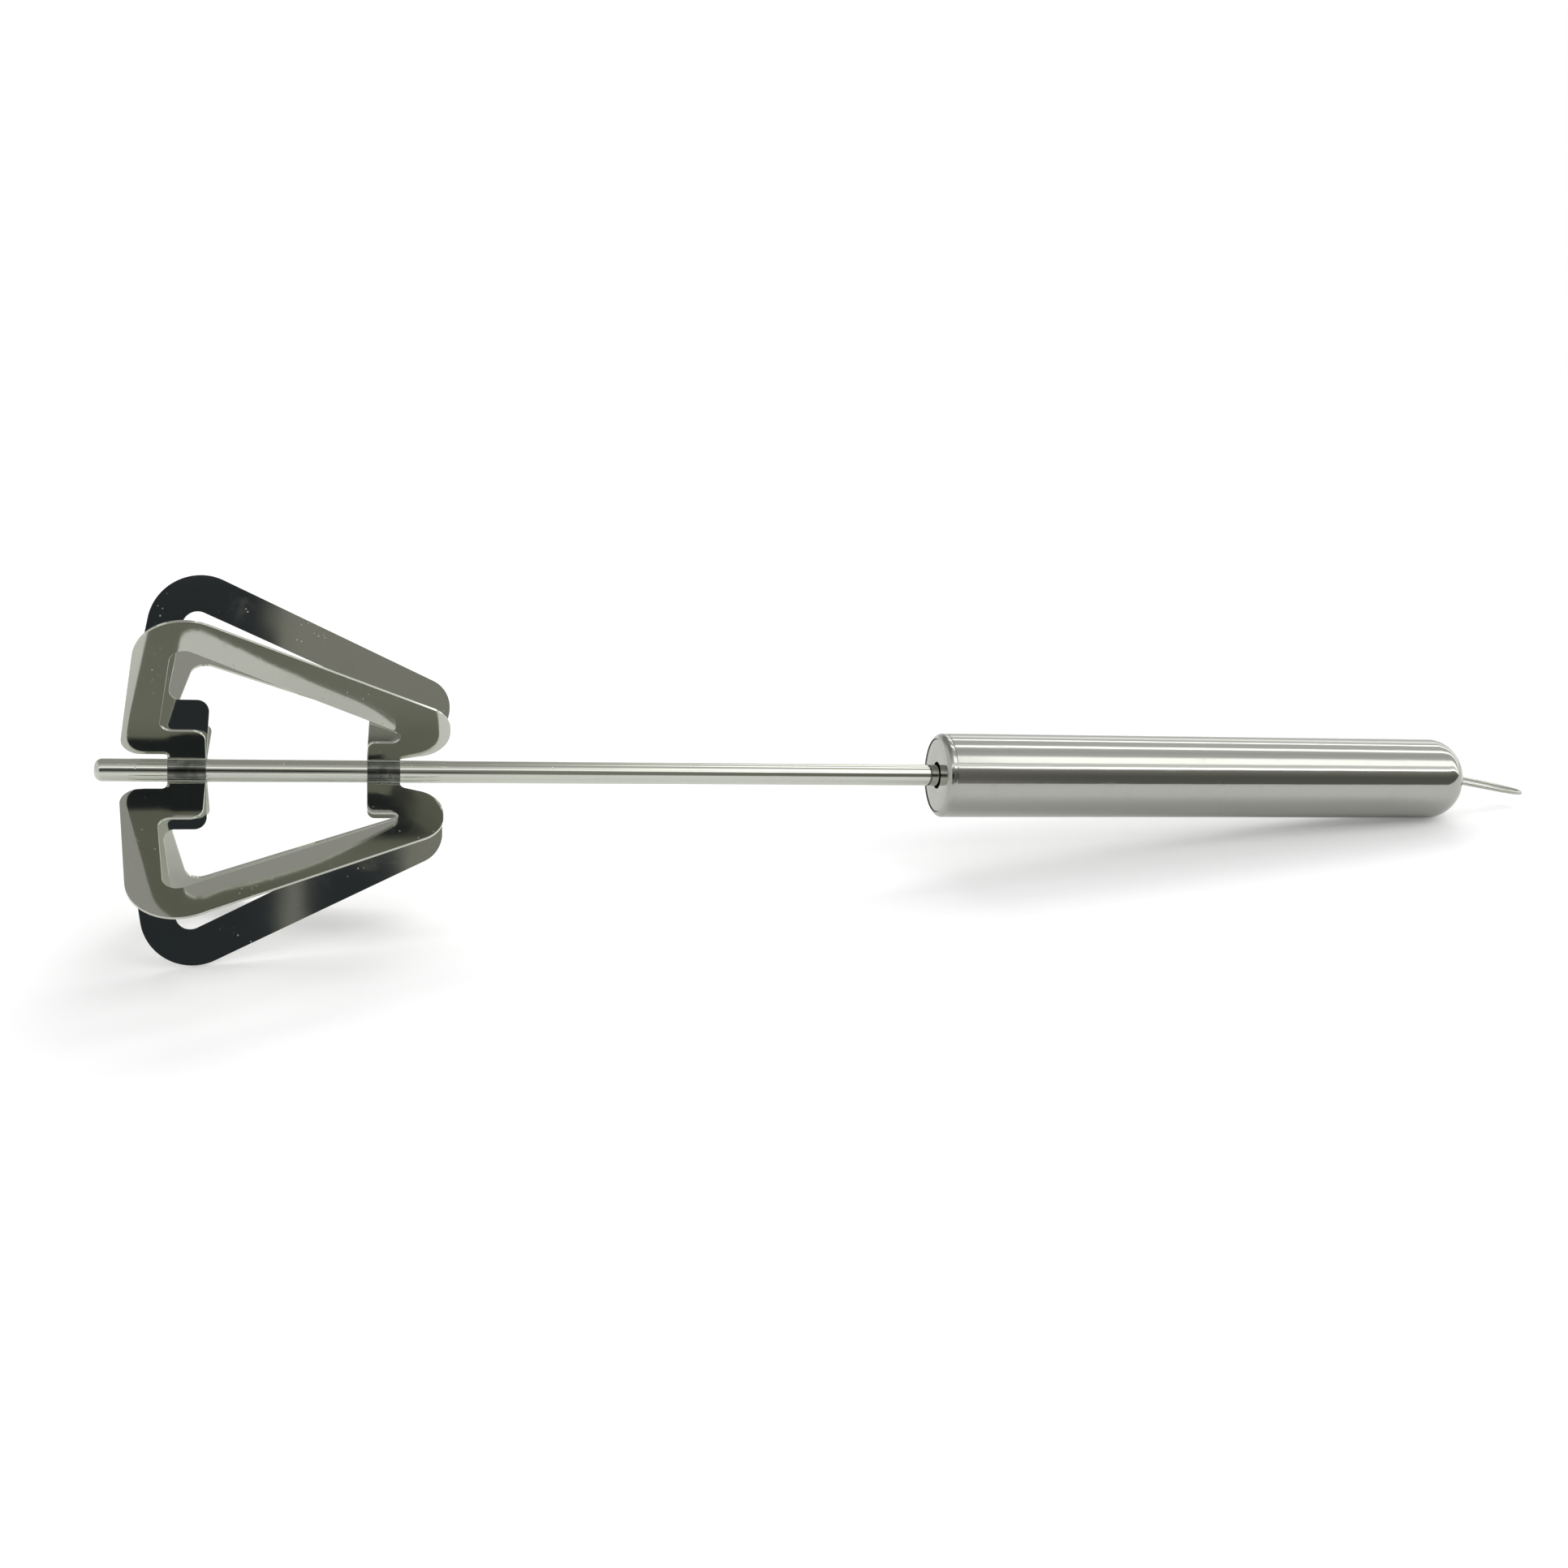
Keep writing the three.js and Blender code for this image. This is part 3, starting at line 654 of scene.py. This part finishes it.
# %% [markdown]
# Each piece is modelled along +X in metres, laid down, and bound to the body it moves with. It hides the
# plain solid that it stands for, and takes its material.


# %% Finish a piece
def finish_piece(name, bm, material, body, replaced=()):
    """Makes an object of a mesh in the shaft's own frame, lays it down, dresses it and binds it."""
    bmesh.ops.transform(bm, matrix=LAY, verts=bm.verts)
    mesh = bpy.data.meshes.new(name)
    bm.to_mesh(mesh)
    bm.free()
    piece = bpy.data.objects.new(name, mesh)
    bpy.context.scene.collection.objects.link(piece)
    mesh.materials.append(material)
    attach(piece, body)
    if replaced:
        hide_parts(*replaced)
    print(name, len(mesh.polygons), "faces")
    return piece


def soft_normals(bm, sharp_degrees=30):
    """Smooth shading, with the edges above an angle kept sharp."""
    for face in bm.faces:
        face.smooth = True
    for edge in bm.edges:
        edge.smooth = len(edge.link_faces) == 2 and edge.calc_face_angle() < math.radians(sharp_degrees)


# %% [markdown]
# A stamped wing is straight edges joined by round corners. Each corner is made by spinning one vertex about
# the corner's centre, which gives a true arc, and the arcs are joined by straight edges into one face.


# %% Rounded outline
def corner_arc(before, corner, after, radius):
    """Start point, centre and turn of the arc that rounds a corner."""
    to_before = (before - corner).normalized()
    to_after = (after - corner).normalized()
    half = to_before.angle(to_after) / 2
    centre = corner + (to_before + to_after).normalized() * (radius / math.sin(half))
    first = corner + to_before * (radius / math.tan(half)) - centre
    last = corner + to_after * (radius / math.tan(half)) - centre
    turn = math.atan2(first.cross(last).z, first.dot(last))
    return first + centre, centre, turn


def spun_last(bm, item, **how):
    """Spins a vertex or an edge and returns its copy at the end of the way."""
    spun = bmesh.ops.spin(bm, geom=[item], **how)
    return next(last for last in spun["geom_last"] if isinstance(last, type(item)))


ARC_STEP = math.radians(4)
LEAST_STEPS = 3


def outline_face(bm, corners):
    """One flat face in the XY plane from (x, y, radius) corners."""
    points = [Vector((x, y, 0)) for x, y, _ in corners]
    loop = []
    for i, (_, _, radius) in enumerate(corners):
        if not radius:
            loop.append(bm.verts.new(points[i]))
            continue
        start, centre, turn = corner_arc(points[i - 1], points[i], points[(i + 1) % len(points)], radius)
        steps = max(LEAST_STEPS, round(abs(turn) / ARC_STEP))
        loop.append(bm.verts.new(start))
        for _ in range(steps):
            loop.append(spun_last(bm, loop[-1], cent=centre, axis=(0, 0, 1), angle=turn / steps, steps=1))
    return bm.faces.new(loop)


# %% [markdown]
# A wing is one strip around a triangular opening, with a front and a rear tab that reach in to the shaft.
# Its edges are the same lines as the solid's: the steep front edge, the long taper and the rear edge, with
# a second set for the opening. Hand fitting made each wing a little different: `drop` sinks its root,
# `lean` slides it back.

# %% Wing dimensions
SHAFT_RADIUS = 2.5
GAP = 0.2
SHEET = 0.6
FRONT_TAB = (15.1, 23)
REAR_TAB = (56.9, 64)
FRONT_EDGE_SLOPE = 0.134
FRONT_EDGE_START = 4.6
FRONT_STRIP = 7.4
TAPER = (-0.462, 52.5)
INNER_TAPER = (-0.452, 43.4)
HEEL = (0.3, -14.2)
HEEL_CLEAR = 0.3
FRONT_ROOT = 5.9
FRONT_SHOULDER = 14.5
REAR_SHOULDER = 12.9
REAR_ENDS = (73.2, 74.3)
TURN_FROM = 20
STRAIGHT_ABOVE = 4.6
print("the wings end", REAR_ENDS, "mm behind the shaft's tip")

# %% [markdown]
# A millimetre of drop moves or turns the other edges too. These shares and the corners' radii were read off
# the photograph's outline, once it had been fitted with a camera.

# %% Wing shares and radii
FRONT_ROOT_DROP = 0.35
REAR_SHOULDER_DROP = 1.5
HEEL_DROP = 0.7
TAPER_TURN = 0.0075
INNER_TAPER_TURN = 0.023
TAB_ROUND = 1.5
TAB_ROUND_SHARE = 1.25
FOOT_ROUND = 4
PEAK_ROUND = 10.8
TAIL_ROUND = 6.9
REAR_SHOULDER_ROUND = 1.6
INNER_HEEL_ROUND = 1.1
INNER_HEEL_DROP = 0.3
INNER_PEAK_ROUND = 3.1
INNER_FOOT_ROUND = 2.3
FRONT_SHOULDER_ROUND = 2.7
print("the outer corners are rounded by", PEAK_ROUND, "and", TAIL_ROUND, "mm")

# %% [markdown]
# Every frame is two wings of this outline, `half` to either side of its `middle`. The angles are those of
# `around`, and `leans` (in degrees) and `drops` (in millimetres) give the lower wing first.

# %% The three frames and the wing's outline
FRAMES = [
    {"name": "near_frame", "middle": 22.5, "half": 45, "layer": 0, "leans": (-0.9, 1.5), "drops": (0, 2.6)},
    {"name": "flat_frame", "middle": 202.5, "half": 90, "layer": 0, "leans": (1, 3.4), "drops": (1.7, -0.8)},
    {"name": "far_frame", "middle": 202.5, "half": 45, "layer": 1, "leans": (1.4, 3.8), "drops": (0, 0)},
]


def crossing(one, other):
    """Where two lines (slope, height) cross."""
    a = (other[1] - one[1]) / (one[0] - other[0])
    return a, one[0] * a + one[1]


def turned_down(line, slope):
    """A line (slope, height) that is steeper by a slope, turned about its point at TURN_FROM."""
    return line[0] - slope, line[1] + TURN_FROM * slope


def wing_corners(root, drop, rear_end):
    """The wing's corners (a, r, round), from the front tab's root round to the same tab."""
    front_root = FRONT_ROOT - FRONT_ROOT_DROP * drop
    front_shoulder = FRONT_SHOULDER - drop
    rear_shoulder = REAR_SHOULDER - REAR_SHOULDER_DROP * drop
    heel = (HEEL[0], HEEL[1] - HEEL_DROP * drop)
    heel_root = max(heel[0] * REAR_TAB[1] + heel[1], root + HEEL_CLEAR)
    taper = turned_down(TAPER, TAPER_TURN * drop)
    inner_taper = turned_down(INNER_TAPER, INNER_TAPER_TURN * drop)
    inner_heel = (rear_shoulder - inner_taper[1]) / inner_taper[0]
    steep = 1 / FRONT_EDGE_SLOPE
    front = (steep, -FRONT_EDGE_START * steep)
    inner_front = (steep, -(FRONT_EDGE_START + FRONT_STRIP) * steep)

    def front_at(r):
        return FRONT_EDGE_START + FRONT_EDGE_SLOPE * r

    return [
        (FRONT_TAB[0], root, 0),
        (FRONT_TAB[0], front_root, min(TAB_ROUND, front_root - STRAIGHT_ABOVE)),
        (front_at(front_root), front_root, FOOT_ROUND),
        (*crossing(front, taper), PEAK_ROUND),
        (rear_end, taper[0] * rear_end + taper[1], TAIL_ROUND),
        (rear_end, heel[0] * rear_end + heel[1], TAIL_ROUND),
        (REAR_TAB[1], heel_root, min(TAB_ROUND, TAB_ROUND_SHARE * (heel_root - root))),
        (REAR_TAB[1], root, 0),
        (REAR_TAB[0], root, 0),
        (REAR_TAB[0], rear_shoulder, REAR_SHOULDER_ROUND),
        (inner_heel, rear_shoulder, INNER_HEEL_ROUND + INNER_HEEL_DROP * drop),
        (*crossing(inner_taper, inner_front), INNER_PEAK_ROUND),
        (front_at(front_shoulder) + FRONT_STRIP, front_shoulder, INNER_FOOT_ROUND),
        (FRONT_TAB[1], front_shoulder, FRONT_SHOULDER_ROUND),
        (FRONT_TAB[1], root, 0),
    ]


print("frames:", [spec["name"] for spec in FRAMES])

# %% [markdown]
# Two wings and the two straps between them are one sheet. Only its middle surface is modelled: each wing is
# a flat face, and each strap is the wing's root edge spun three times, about the first bend, about the
# shaft and about the second bend. Solidify then gives the sheet its thickness, and a fine bevel rounds its
# cut edges so that they catch the light, as the thin bright lines in the photograph do.


# %% Frames
BEND_ROUND = 0.9
BEND_STEPS = 10
STRAP_STEPS = 24
MERGE = 0.01
CUT_EDGE = 0.08
CUT_EDGE_ABOVE = math.radians(50)


def add_wing(bm, angle, lean, drop, rear_end, root):
    """Adds a wing's face in its plane and returns its front and rear root edges."""
    face = outline_face(bm, wing_corners(root, drop, rear_end))
    slide = math.tan(math.radians(lean))
    for vert in face.verts:
        vert.co.x += slide * max(0, vert.co.y - STRAIGHT_ABOVE)
    up = around(angle)
    side = ALONG.cross(up)
    stand = Matrix((ALONG, up, side)).transposed().to_4x4()
    bmesh.ops.transform(bm, matrix=stand, verts=face.verts)

    def at_root(vert):
        return abs(vert.co.y**2 + vert.co.z**2 - root**2) < MERGE

    roots = [edge for edge in face.edges if all(at_root(vert) for vert in edge.verts)]
    return sorted(roots, key=lambda edge: edge.verts[0].co.x)


def build_frame(spec):
    """One frame: two wings, two straps between them, and the modifiers that make them sheet."""
    bm = bmesh.new()
    middle_radius = SHAFT_RADIUS + GAP + SHEET / 2 + spec["layer"] * (SHEET + GAP)
    bend_at = middle_radius + BEND_ROUND
    root = math.sqrt(bend_at**2 - BEND_ROUND**2)
    wrap = math.radians(spec["half"]) - math.asin(BEND_ROUND / bend_at)
    bend_turn = math.pi / 2 - math.asin(BEND_ROUND / bend_at)
    # behind the shaft, the lower wing stands at the greater angle
    order = (0, 1) if spec["middle"] > 90 else (1, 0)
    roots = []
    for sign, index in zip((1, -1), order):
        angle = spec["middle"] + sign * spec["half"]
        roots.append(add_wing(bm, angle, spec["leans"][index], spec["drops"][index], REAR_ENDS[index], root))
    bends = ((1, bend_turn, BEND_STEPS), (0, -2 * wrap, STRAP_STEPS), (-1, bend_turn, BEND_STEPS))
    for edge in roots[0]:
        for sign, turn, steps in bends:
            angle = spec["middle"] + sign * math.degrees(wrap)
            centre = around(angle) * bend_at if sign else Vector()
            edge = spun_last(bm, edge, cent=centre, axis=-ALONG, angle=turn, steps=steps)
    bmesh.ops.remove_doubles(bm, verts=bm.verts, dist=MERGE)
    bmesh.ops.recalc_face_normals(bm, faces=bm.faces)
    bmesh.ops.scale(bm, vec=(MM, MM, MM), verts=bm.verts)
    soft_normals(bm)
    material = near_steel if spec["name"] == "near_frame" else sheet_steel
    piece = finish_piece(spec["name"] + "_sheet", bm, material, "whisk", [spec["name"]])
    solidify = piece.modifiers.new("thickness", "SOLIDIFY")
    solidify.thickness = SHEET * MM
    solidify.offset = 0
    solidify.use_even_offset = True
    bevel = piece.modifiers.new("cut_edge", "BEVEL")
    bevel.width = CUT_EDGE * MM
    bevel.segments = 2
    bevel.limit_method = "ANGLE"
    bevel.angle_limit = CUT_EDGE_ABOVE
    bevel.harden_normals = True


for spec in FRAMES:
    build_frame(spec)

# %% [markdown]
# The tube, the disc, the bush and the shaft are round about the same line, so each is a profile of (a, r)
# points spun a full turn: a runs along the shaft from its tip, r away from it. A corner that the light
# should catch is an arc in the profile.


# %% Spin a profile
SAME_PLACE = 1e-6


def arc_points(a, r, radius, start, end, steps):
    """Points (a, r) of an arc, angles in degrees from the +a direction."""
    angles = [math.radians(start + (end - start) * i / steps) for i in range(steps + 1)]
    return [(a + radius * math.cos(t), r + radius * math.sin(t)) for t in angles]


def turned(profile, steps):
    """A closed body from a profile of (a, r) points in millimetres, spun about the shaft's line."""
    bm = bmesh.new()
    verts = [bm.verts.new((a * MM, 0, r * MM)) for a, r in profile]
    edges = [bm.edges.new(pair) for pair in zip(verts, verts[1:])]
    if profile[0][1] > 0:
        edges.append(bm.edges.new((verts[-1], verts[0])))
    bmesh.ops.spin(
        bm, geom=verts + edges, cent=(0, 0, 0), axis=ALONG, angle=math.tau, steps=steps, use_merge=True
    )
    bmesh.ops.remove_doubles(bm, verts=bm.verts, dist=SAME_PLACE)
    bmesh.ops.recalc_face_normals(bm, faces=bm.faces)
    soft_normals(bm)
    return bm


print("a quarter arc:", [(round(a, 2), round(r, 2)) for a, r in arc_points(0, 0, 1, 0, 90, 2)])

# %% [markdown]
# The handle is a drawn tube with a domed end. At its front the wall is rolled in to hold the disc, and
# behind the roll runs a faint groove that the rolling tool left.

# %% Handle tube
HANDLE_RADIUS = 10
HANDLE_WALL = 0.7
BORE = HANDLE_RADIUS - HANDLE_WALL
HANDLE_FRONT = 189
HANDLE_END = 327.9
DOME_ROUND = 7.7
RIM_ROUND = 1.5
RIM_LIP = 8.75
RIM_DEPTH = 2
GROOVE_START = HANDLE_FRONT + RIM_ROUND + 0.35
GROOVE_WIDE = 0.5
GROOVE_DEEP = 0.06
GROOVE_SHARES = (1, 0.85, 0.7, 0.5, 0.3, 0.15, 0)


def handle_profile():
    """The tube's section: over the dome to the rim, and back inside the wall."""
    dome_a = HANDLE_END - DOME_ROUND
    dome_r = HANDLE_RADIUS - DOME_ROUND
    rim_r = HANDLE_RADIUS - RIM_ROUND
    lip = math.degrees(math.asin((RIM_LIP - rim_r) / RIM_ROUND))
    groove = [
        (GROOVE_START + GROOVE_WIDE * share, HANDLE_RADIUS - GROOVE_DEEP * math.sin(math.pi * share) ** 2)
        for share in GROOVE_SHARES
    ]
    return [
        (HANDLE_END, 0),
        *arc_points(dome_a, dome_r, DOME_ROUND, 0, 90, 32),
        *groove,
        *arc_points(HANDLE_FRONT + RIM_ROUND, rim_r, RIM_ROUND, 90, 180 - lip, 16),
        (HANDLE_FRONT + RIM_DEPTH, RIM_LIP),
        (HANDLE_FRONT + RIM_DEPTH, BORE),
        *arc_points(dome_a, dome_r, DOME_ROUND - HANDLE_WALL, 90, 0, 16),
        (HANDLE_END - HANDLE_WALL, 0),
    ]


handle = finish_piece(
    "handle_tube", turned(handle_profile(), steps=160), tube_steel, "handle", ["handle_shell"]
)

# %% [markdown]
# The loop's feet pass through two small holes in the dome. Each is cut by a rod that isn't part of the
# object: a Boolean takes it away from the tube, and the rod is deleted.

# %% Holes for the loop's feet
LOOP_PLANE = 8
LOOP_HALF_WIDTH = 4.2
LOOP_HOLE = 1.15


def cut_holes(piece):
    """Drills the two holes along the handle, through its dome."""
    bm = bmesh.new()
    for side in (-1, 1):
        cutter = bmesh.ops.create_cone(
            bm, cap_ends=True, segments=48, radius1=LOOP_HOLE * MM, radius2=LOOP_HOLE * MM,
            depth=2 * DOME_ROUND * MM,
        )
        centre = ALONG * HANDLE_END + around(LOOP_PLANE) * side * LOOP_HALF_WIDTH
        stand = Matrix.Translation(centre * MM) @ Matrix.Rotation(math.pi / 2, 4, "Y")
        bmesh.ops.transform(bm, matrix=LAY @ stand, verts=cutter["verts"])
    rods = bpy.data.objects.new("hole_rods", bpy.data.meshes.new("hole_rods"))
    bm.to_mesh(rods.data)
    bm.free()
    bpy.context.scene.collection.objects.link(rods)
    cut = piece.modifiers.new("holes", "BOOLEAN")
    cut.operation = "DIFFERENCE"
    cut.object = rods
    cut.solver = "EXACT"
    bpy.context.view_layer.update()
    evaluated = piece.evaluated_get(bpy.context.evaluated_depsgraph_get())
    drilled = bpy.data.meshes.new_from_object(evaluated)
    piece.modifiers.clear()
    piece.data = drilled
    bpy.data.objects.remove(rods)


cut_holes(handle)
print("handle after drilling:", len(handle.data.polygons), "faces")

# %% [markdown]
# Inside the rim sits a flat disc with a softly broken edge, and in its hole shows the black bush that
# guides the shaft.

# %% Front disc and bush
DISC_START = HANDLE_FRONT + 0.2
DISC_THICK = 1.2
DISC_RADIUS = 8.6
DISC_HOLE = 3.2
DISC_EDGE = 0.08
BUSH_BORE = SHAFT_RADIUS + 0.1
BUSH_START = HANDLE_FRONT + RIM_DEPTH + GAP
BUSH_END = BUSH_START + 9
BUSH_EDGE = 0.25

disc_end = DISC_START + DISC_THICK
finish_piece("front_plate", turned([
    (DISC_START + DISC_EDGE, DISC_HOLE),
    *arc_points(DISC_START + DISC_EDGE, DISC_HOLE + DISC_EDGE, DISC_EDGE, 270, 180, 5),
    *arc_points(DISC_START + DISC_EDGE, DISC_RADIUS - DISC_EDGE, DISC_EDGE, 180, 90, 5),
    (disc_end, DISC_RADIUS),
    (disc_end, DISC_HOLE),
], steps=128), disc_steel, "handle", ["front_disc"])
boss = disc_end + GAP
finish_piece("shaft_bush", turned([
    *arc_points(boss + BUSH_EDGE, BUSH_BORE + BUSH_EDGE, BUSH_EDGE, 270, 180, 4),
    (boss, DISC_RADIUS - GAP),
    (BUSH_START, DISC_RADIUS - GAP),
    *arc_points(BUSH_START + BUSH_EDGE, BORE - GAP - BUSH_EDGE, BUSH_EDGE, 180, 90, 4),
    (BUSH_END, BORE - GAP),
    (BUSH_END, BUSH_BORE),
], steps=96), nylon, "handle", ["guide_bush"])

# %% [markdown]
# The shaft is a thin tube with a rounded tip. Its inner end is open, so that the drive strip can enter it.

# %% Shaft
SHAFT_END = 203.6
SHAFT_BORE = 1.9
TIP_ROUND = 1.7
TIP_WALL = 4

finish_piece("shaft_tube", turned([
    (0, 0),
    *arc_points(TIP_ROUND, SHAFT_RADIUS - TIP_ROUND, TIP_ROUND, 180, 90, 14),
    (SHAFT_END, SHAFT_RADIUS),
    (SHAFT_END, SHAFT_BORE),
    (TIP_WALL, SHAFT_BORE),
    (TIP_WALL, 0),
], steps=72), rod_steel, "whisk", ["shaft"])

# %% [markdown]
# The loop is one piece of wire, bent to a flat bail with its two feet turned out behind the dome's holes,
# where they can't slip back. A smooth curve through a few points gives the bends, its bevel gives the round
# wire, and the result is made a mesh before it is laid down. Its slight droop is how it hangs when the
# churner lies down.

# %% Hanging loop
LOOP_WIRE = 0.5
LOOP_REACH = 20.7
LOOP_FOOT = 3
LOOP_TOE = 1.6
LOOP_DROOP = 9.5
HALF_BAIL = [
    (-LOOP_FOOT, LOOP_HALF_WIDTH + LOOP_TOE),
    (-LOOP_FOOT, LOOP_HALF_WIDTH + 0.4 * LOOP_TOE),
    (-0.7 * LOOP_FOOT, LOOP_HALF_WIDTH),
    (0, LOOP_HALF_WIDTH),
    (0.4 * LOOP_REACH, LOOP_HALF_WIDTH),
    (0.66 * LOOP_REACH, 0.93 * LOOP_HALF_WIDTH),
    (0.87 * LOOP_REACH, 0.68 * LOOP_HALF_WIDTH),
    (0.975 * LOOP_REACH, 0.3 * LOOP_HALF_WIDTH),
]


def wire_bmesh(points, radius):
    """A round wire along a smooth curve through points, in metres."""
    curve = bpy.data.curves.new("wire", "CURVE")
    curve.dimensions = "3D"
    curve.resolution_u = 8
    curve.bevel_depth = radius
    curve.bevel_resolution = 5
    curve.use_fill_caps = True
    spline = curve.splines.new("BEZIER")
    spline.bezier_points.add(len(points) - 1)
    for knot, point in zip(spline.bezier_points, points):
        knot.co = point
        knot.handle_left_type = "AUTO"
        knot.handle_right_type = "AUTO"
    holder = bpy.data.objects.new("wire", curve)
    mesh = bpy.data.meshes.new_from_object(holder)
    bpy.data.objects.remove(holder)
    bm = bmesh.new()
    bm.from_mesh(mesh)
    bmesh.ops.remove_doubles(bm, verts=bm.verts, dist=SAME_PLACE)
    bmesh.ops.recalc_face_normals(bm, faces=bm.faces)
    soft_normals(bm, sharp_degrees=50)
    return bm


def loop_points():
    """The wire's path from foot to foot, in metres."""
    across = around(LOOP_PLANE)
    down = around(LOOP_PLANE - 90)
    droop = math.radians(LOOP_DROOP)
    outward = ALONG * math.cos(droop) + down * math.sin(droop)
    pivot = ALONG * (HANDLE_END - HANDLE_WALL / 2)
    bail = [*HALF_BAIL, (LOOP_REACH, 0), *((reach, -width) for reach, width in reversed(HALF_BAIL))]
    return [(pivot + outward * reach + across * width) * MM for reach, width in bail]


bm = wire_bmesh(loop_points(), LOOP_WIRE * MM)
finish_piece("hanging_wire", bm, wire_steel, "loop", ["hanging_loop"])

# %% [markdown]
# Two spot welds show on the near frame's rear strap as low beads. A flattened ball that stands a tenth of a
# millimetre out of the strap is enough for each, and it saves cutting the sheet.

# %% Spot welds
WELDS = ((59.9, -2), (61.8, 1))
WELD_RADIUS = 0.42
WELD_RISE = 0.1
STRAP_RADIUS = SHAFT_RADIUS + GAP + SHEET

bm = bmesh.new()
for a, degrees in WELDS:
    bead = bmesh.ops.create_uvsphere(bm, u_segments=24, v_segments=12, radius=1)
    out = around(degrees)
    outwards = Matrix((ALONG, out.cross(ALONG), out)).transposed().to_4x4()
    place = Matrix.Translation((ALONG * a + out * STRAP_RADIUS) * MM)
    size = Matrix.Diagonal((WELD_RADIUS * MM, WELD_RADIUS * MM, WELD_RISE * MM, 1))
    bmesh.ops.transform(bm, matrix=place @ outwards @ size, verts=bead["verts"])
bmesh.ops.recalc_face_normals(bm, faces=bm.faces)
soft_normals(bm)
finish_piece("weld_beads", bm, near_steel, "whisk")

# %% [markdown]
# The drive is out of sight inside the handle. The return spring is the round section of its wire, spun and
# shifted along at once, which makes a coil.

# %% Return spring
SPRING_RADIUS = 7.2
SPRING_WIRE = 0.5
SPRING_TURNS = 14
SPRING_START = 206.7
PLUG_START = 313
TURN_STEPS = 36

bm = bmesh.new()
first = SPRING_START + SPRING_WIRE
pitch = (PLUG_START - GAP - SPRING_WIRE - first) / SPRING_TURNS
section = bmesh.ops.create_circle(bm, cap_ends=True, segments=12, radius=SPRING_WIRE * MM)["verts"]
start = Vector((first, 0, 0)) * MM
bmesh.ops.translate(bm, vec=start, verts=section)
bmesh.ops.rotate(bm, cent=start, matrix=Matrix.Rotation(math.pi / 2, 3, "X"), verts=section)
bmesh.ops.translate(bm, vec=Vector((0, 0, SPRING_RADIUS)) * MM, verts=section)
bmesh.ops.spin(
    bm, geom=bm.faces[:], cent=(0, 0, 0), axis=ALONG, dvec=ALONG * (pitch * MM / TURN_STEPS),
    angle=math.tau * SPRING_TURNS, steps=TURN_STEPS * SPRING_TURNS,
)
bmesh.ops.recalc_face_normals(bm, faces=bm.faces)
soft_normals(bm, sharp_degrees=50)
spring = finish_piece("return_coil", bm, wire_steel, "handle", ["return_spring"])
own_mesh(spring)

# %% [markdown]
# The strip, the nut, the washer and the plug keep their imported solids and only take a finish.

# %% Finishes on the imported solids
for node, material in {
    "end_plug": nylon, "drive_nut": nylon, "drive_strip": wire_steel, "thrust_washer": wire_steel,
}.items():
    frame["nodes"][node].data.materials.clear()
    frame["nodes"][node].data.materials.append(material)
    print(node, "wears", material.name)
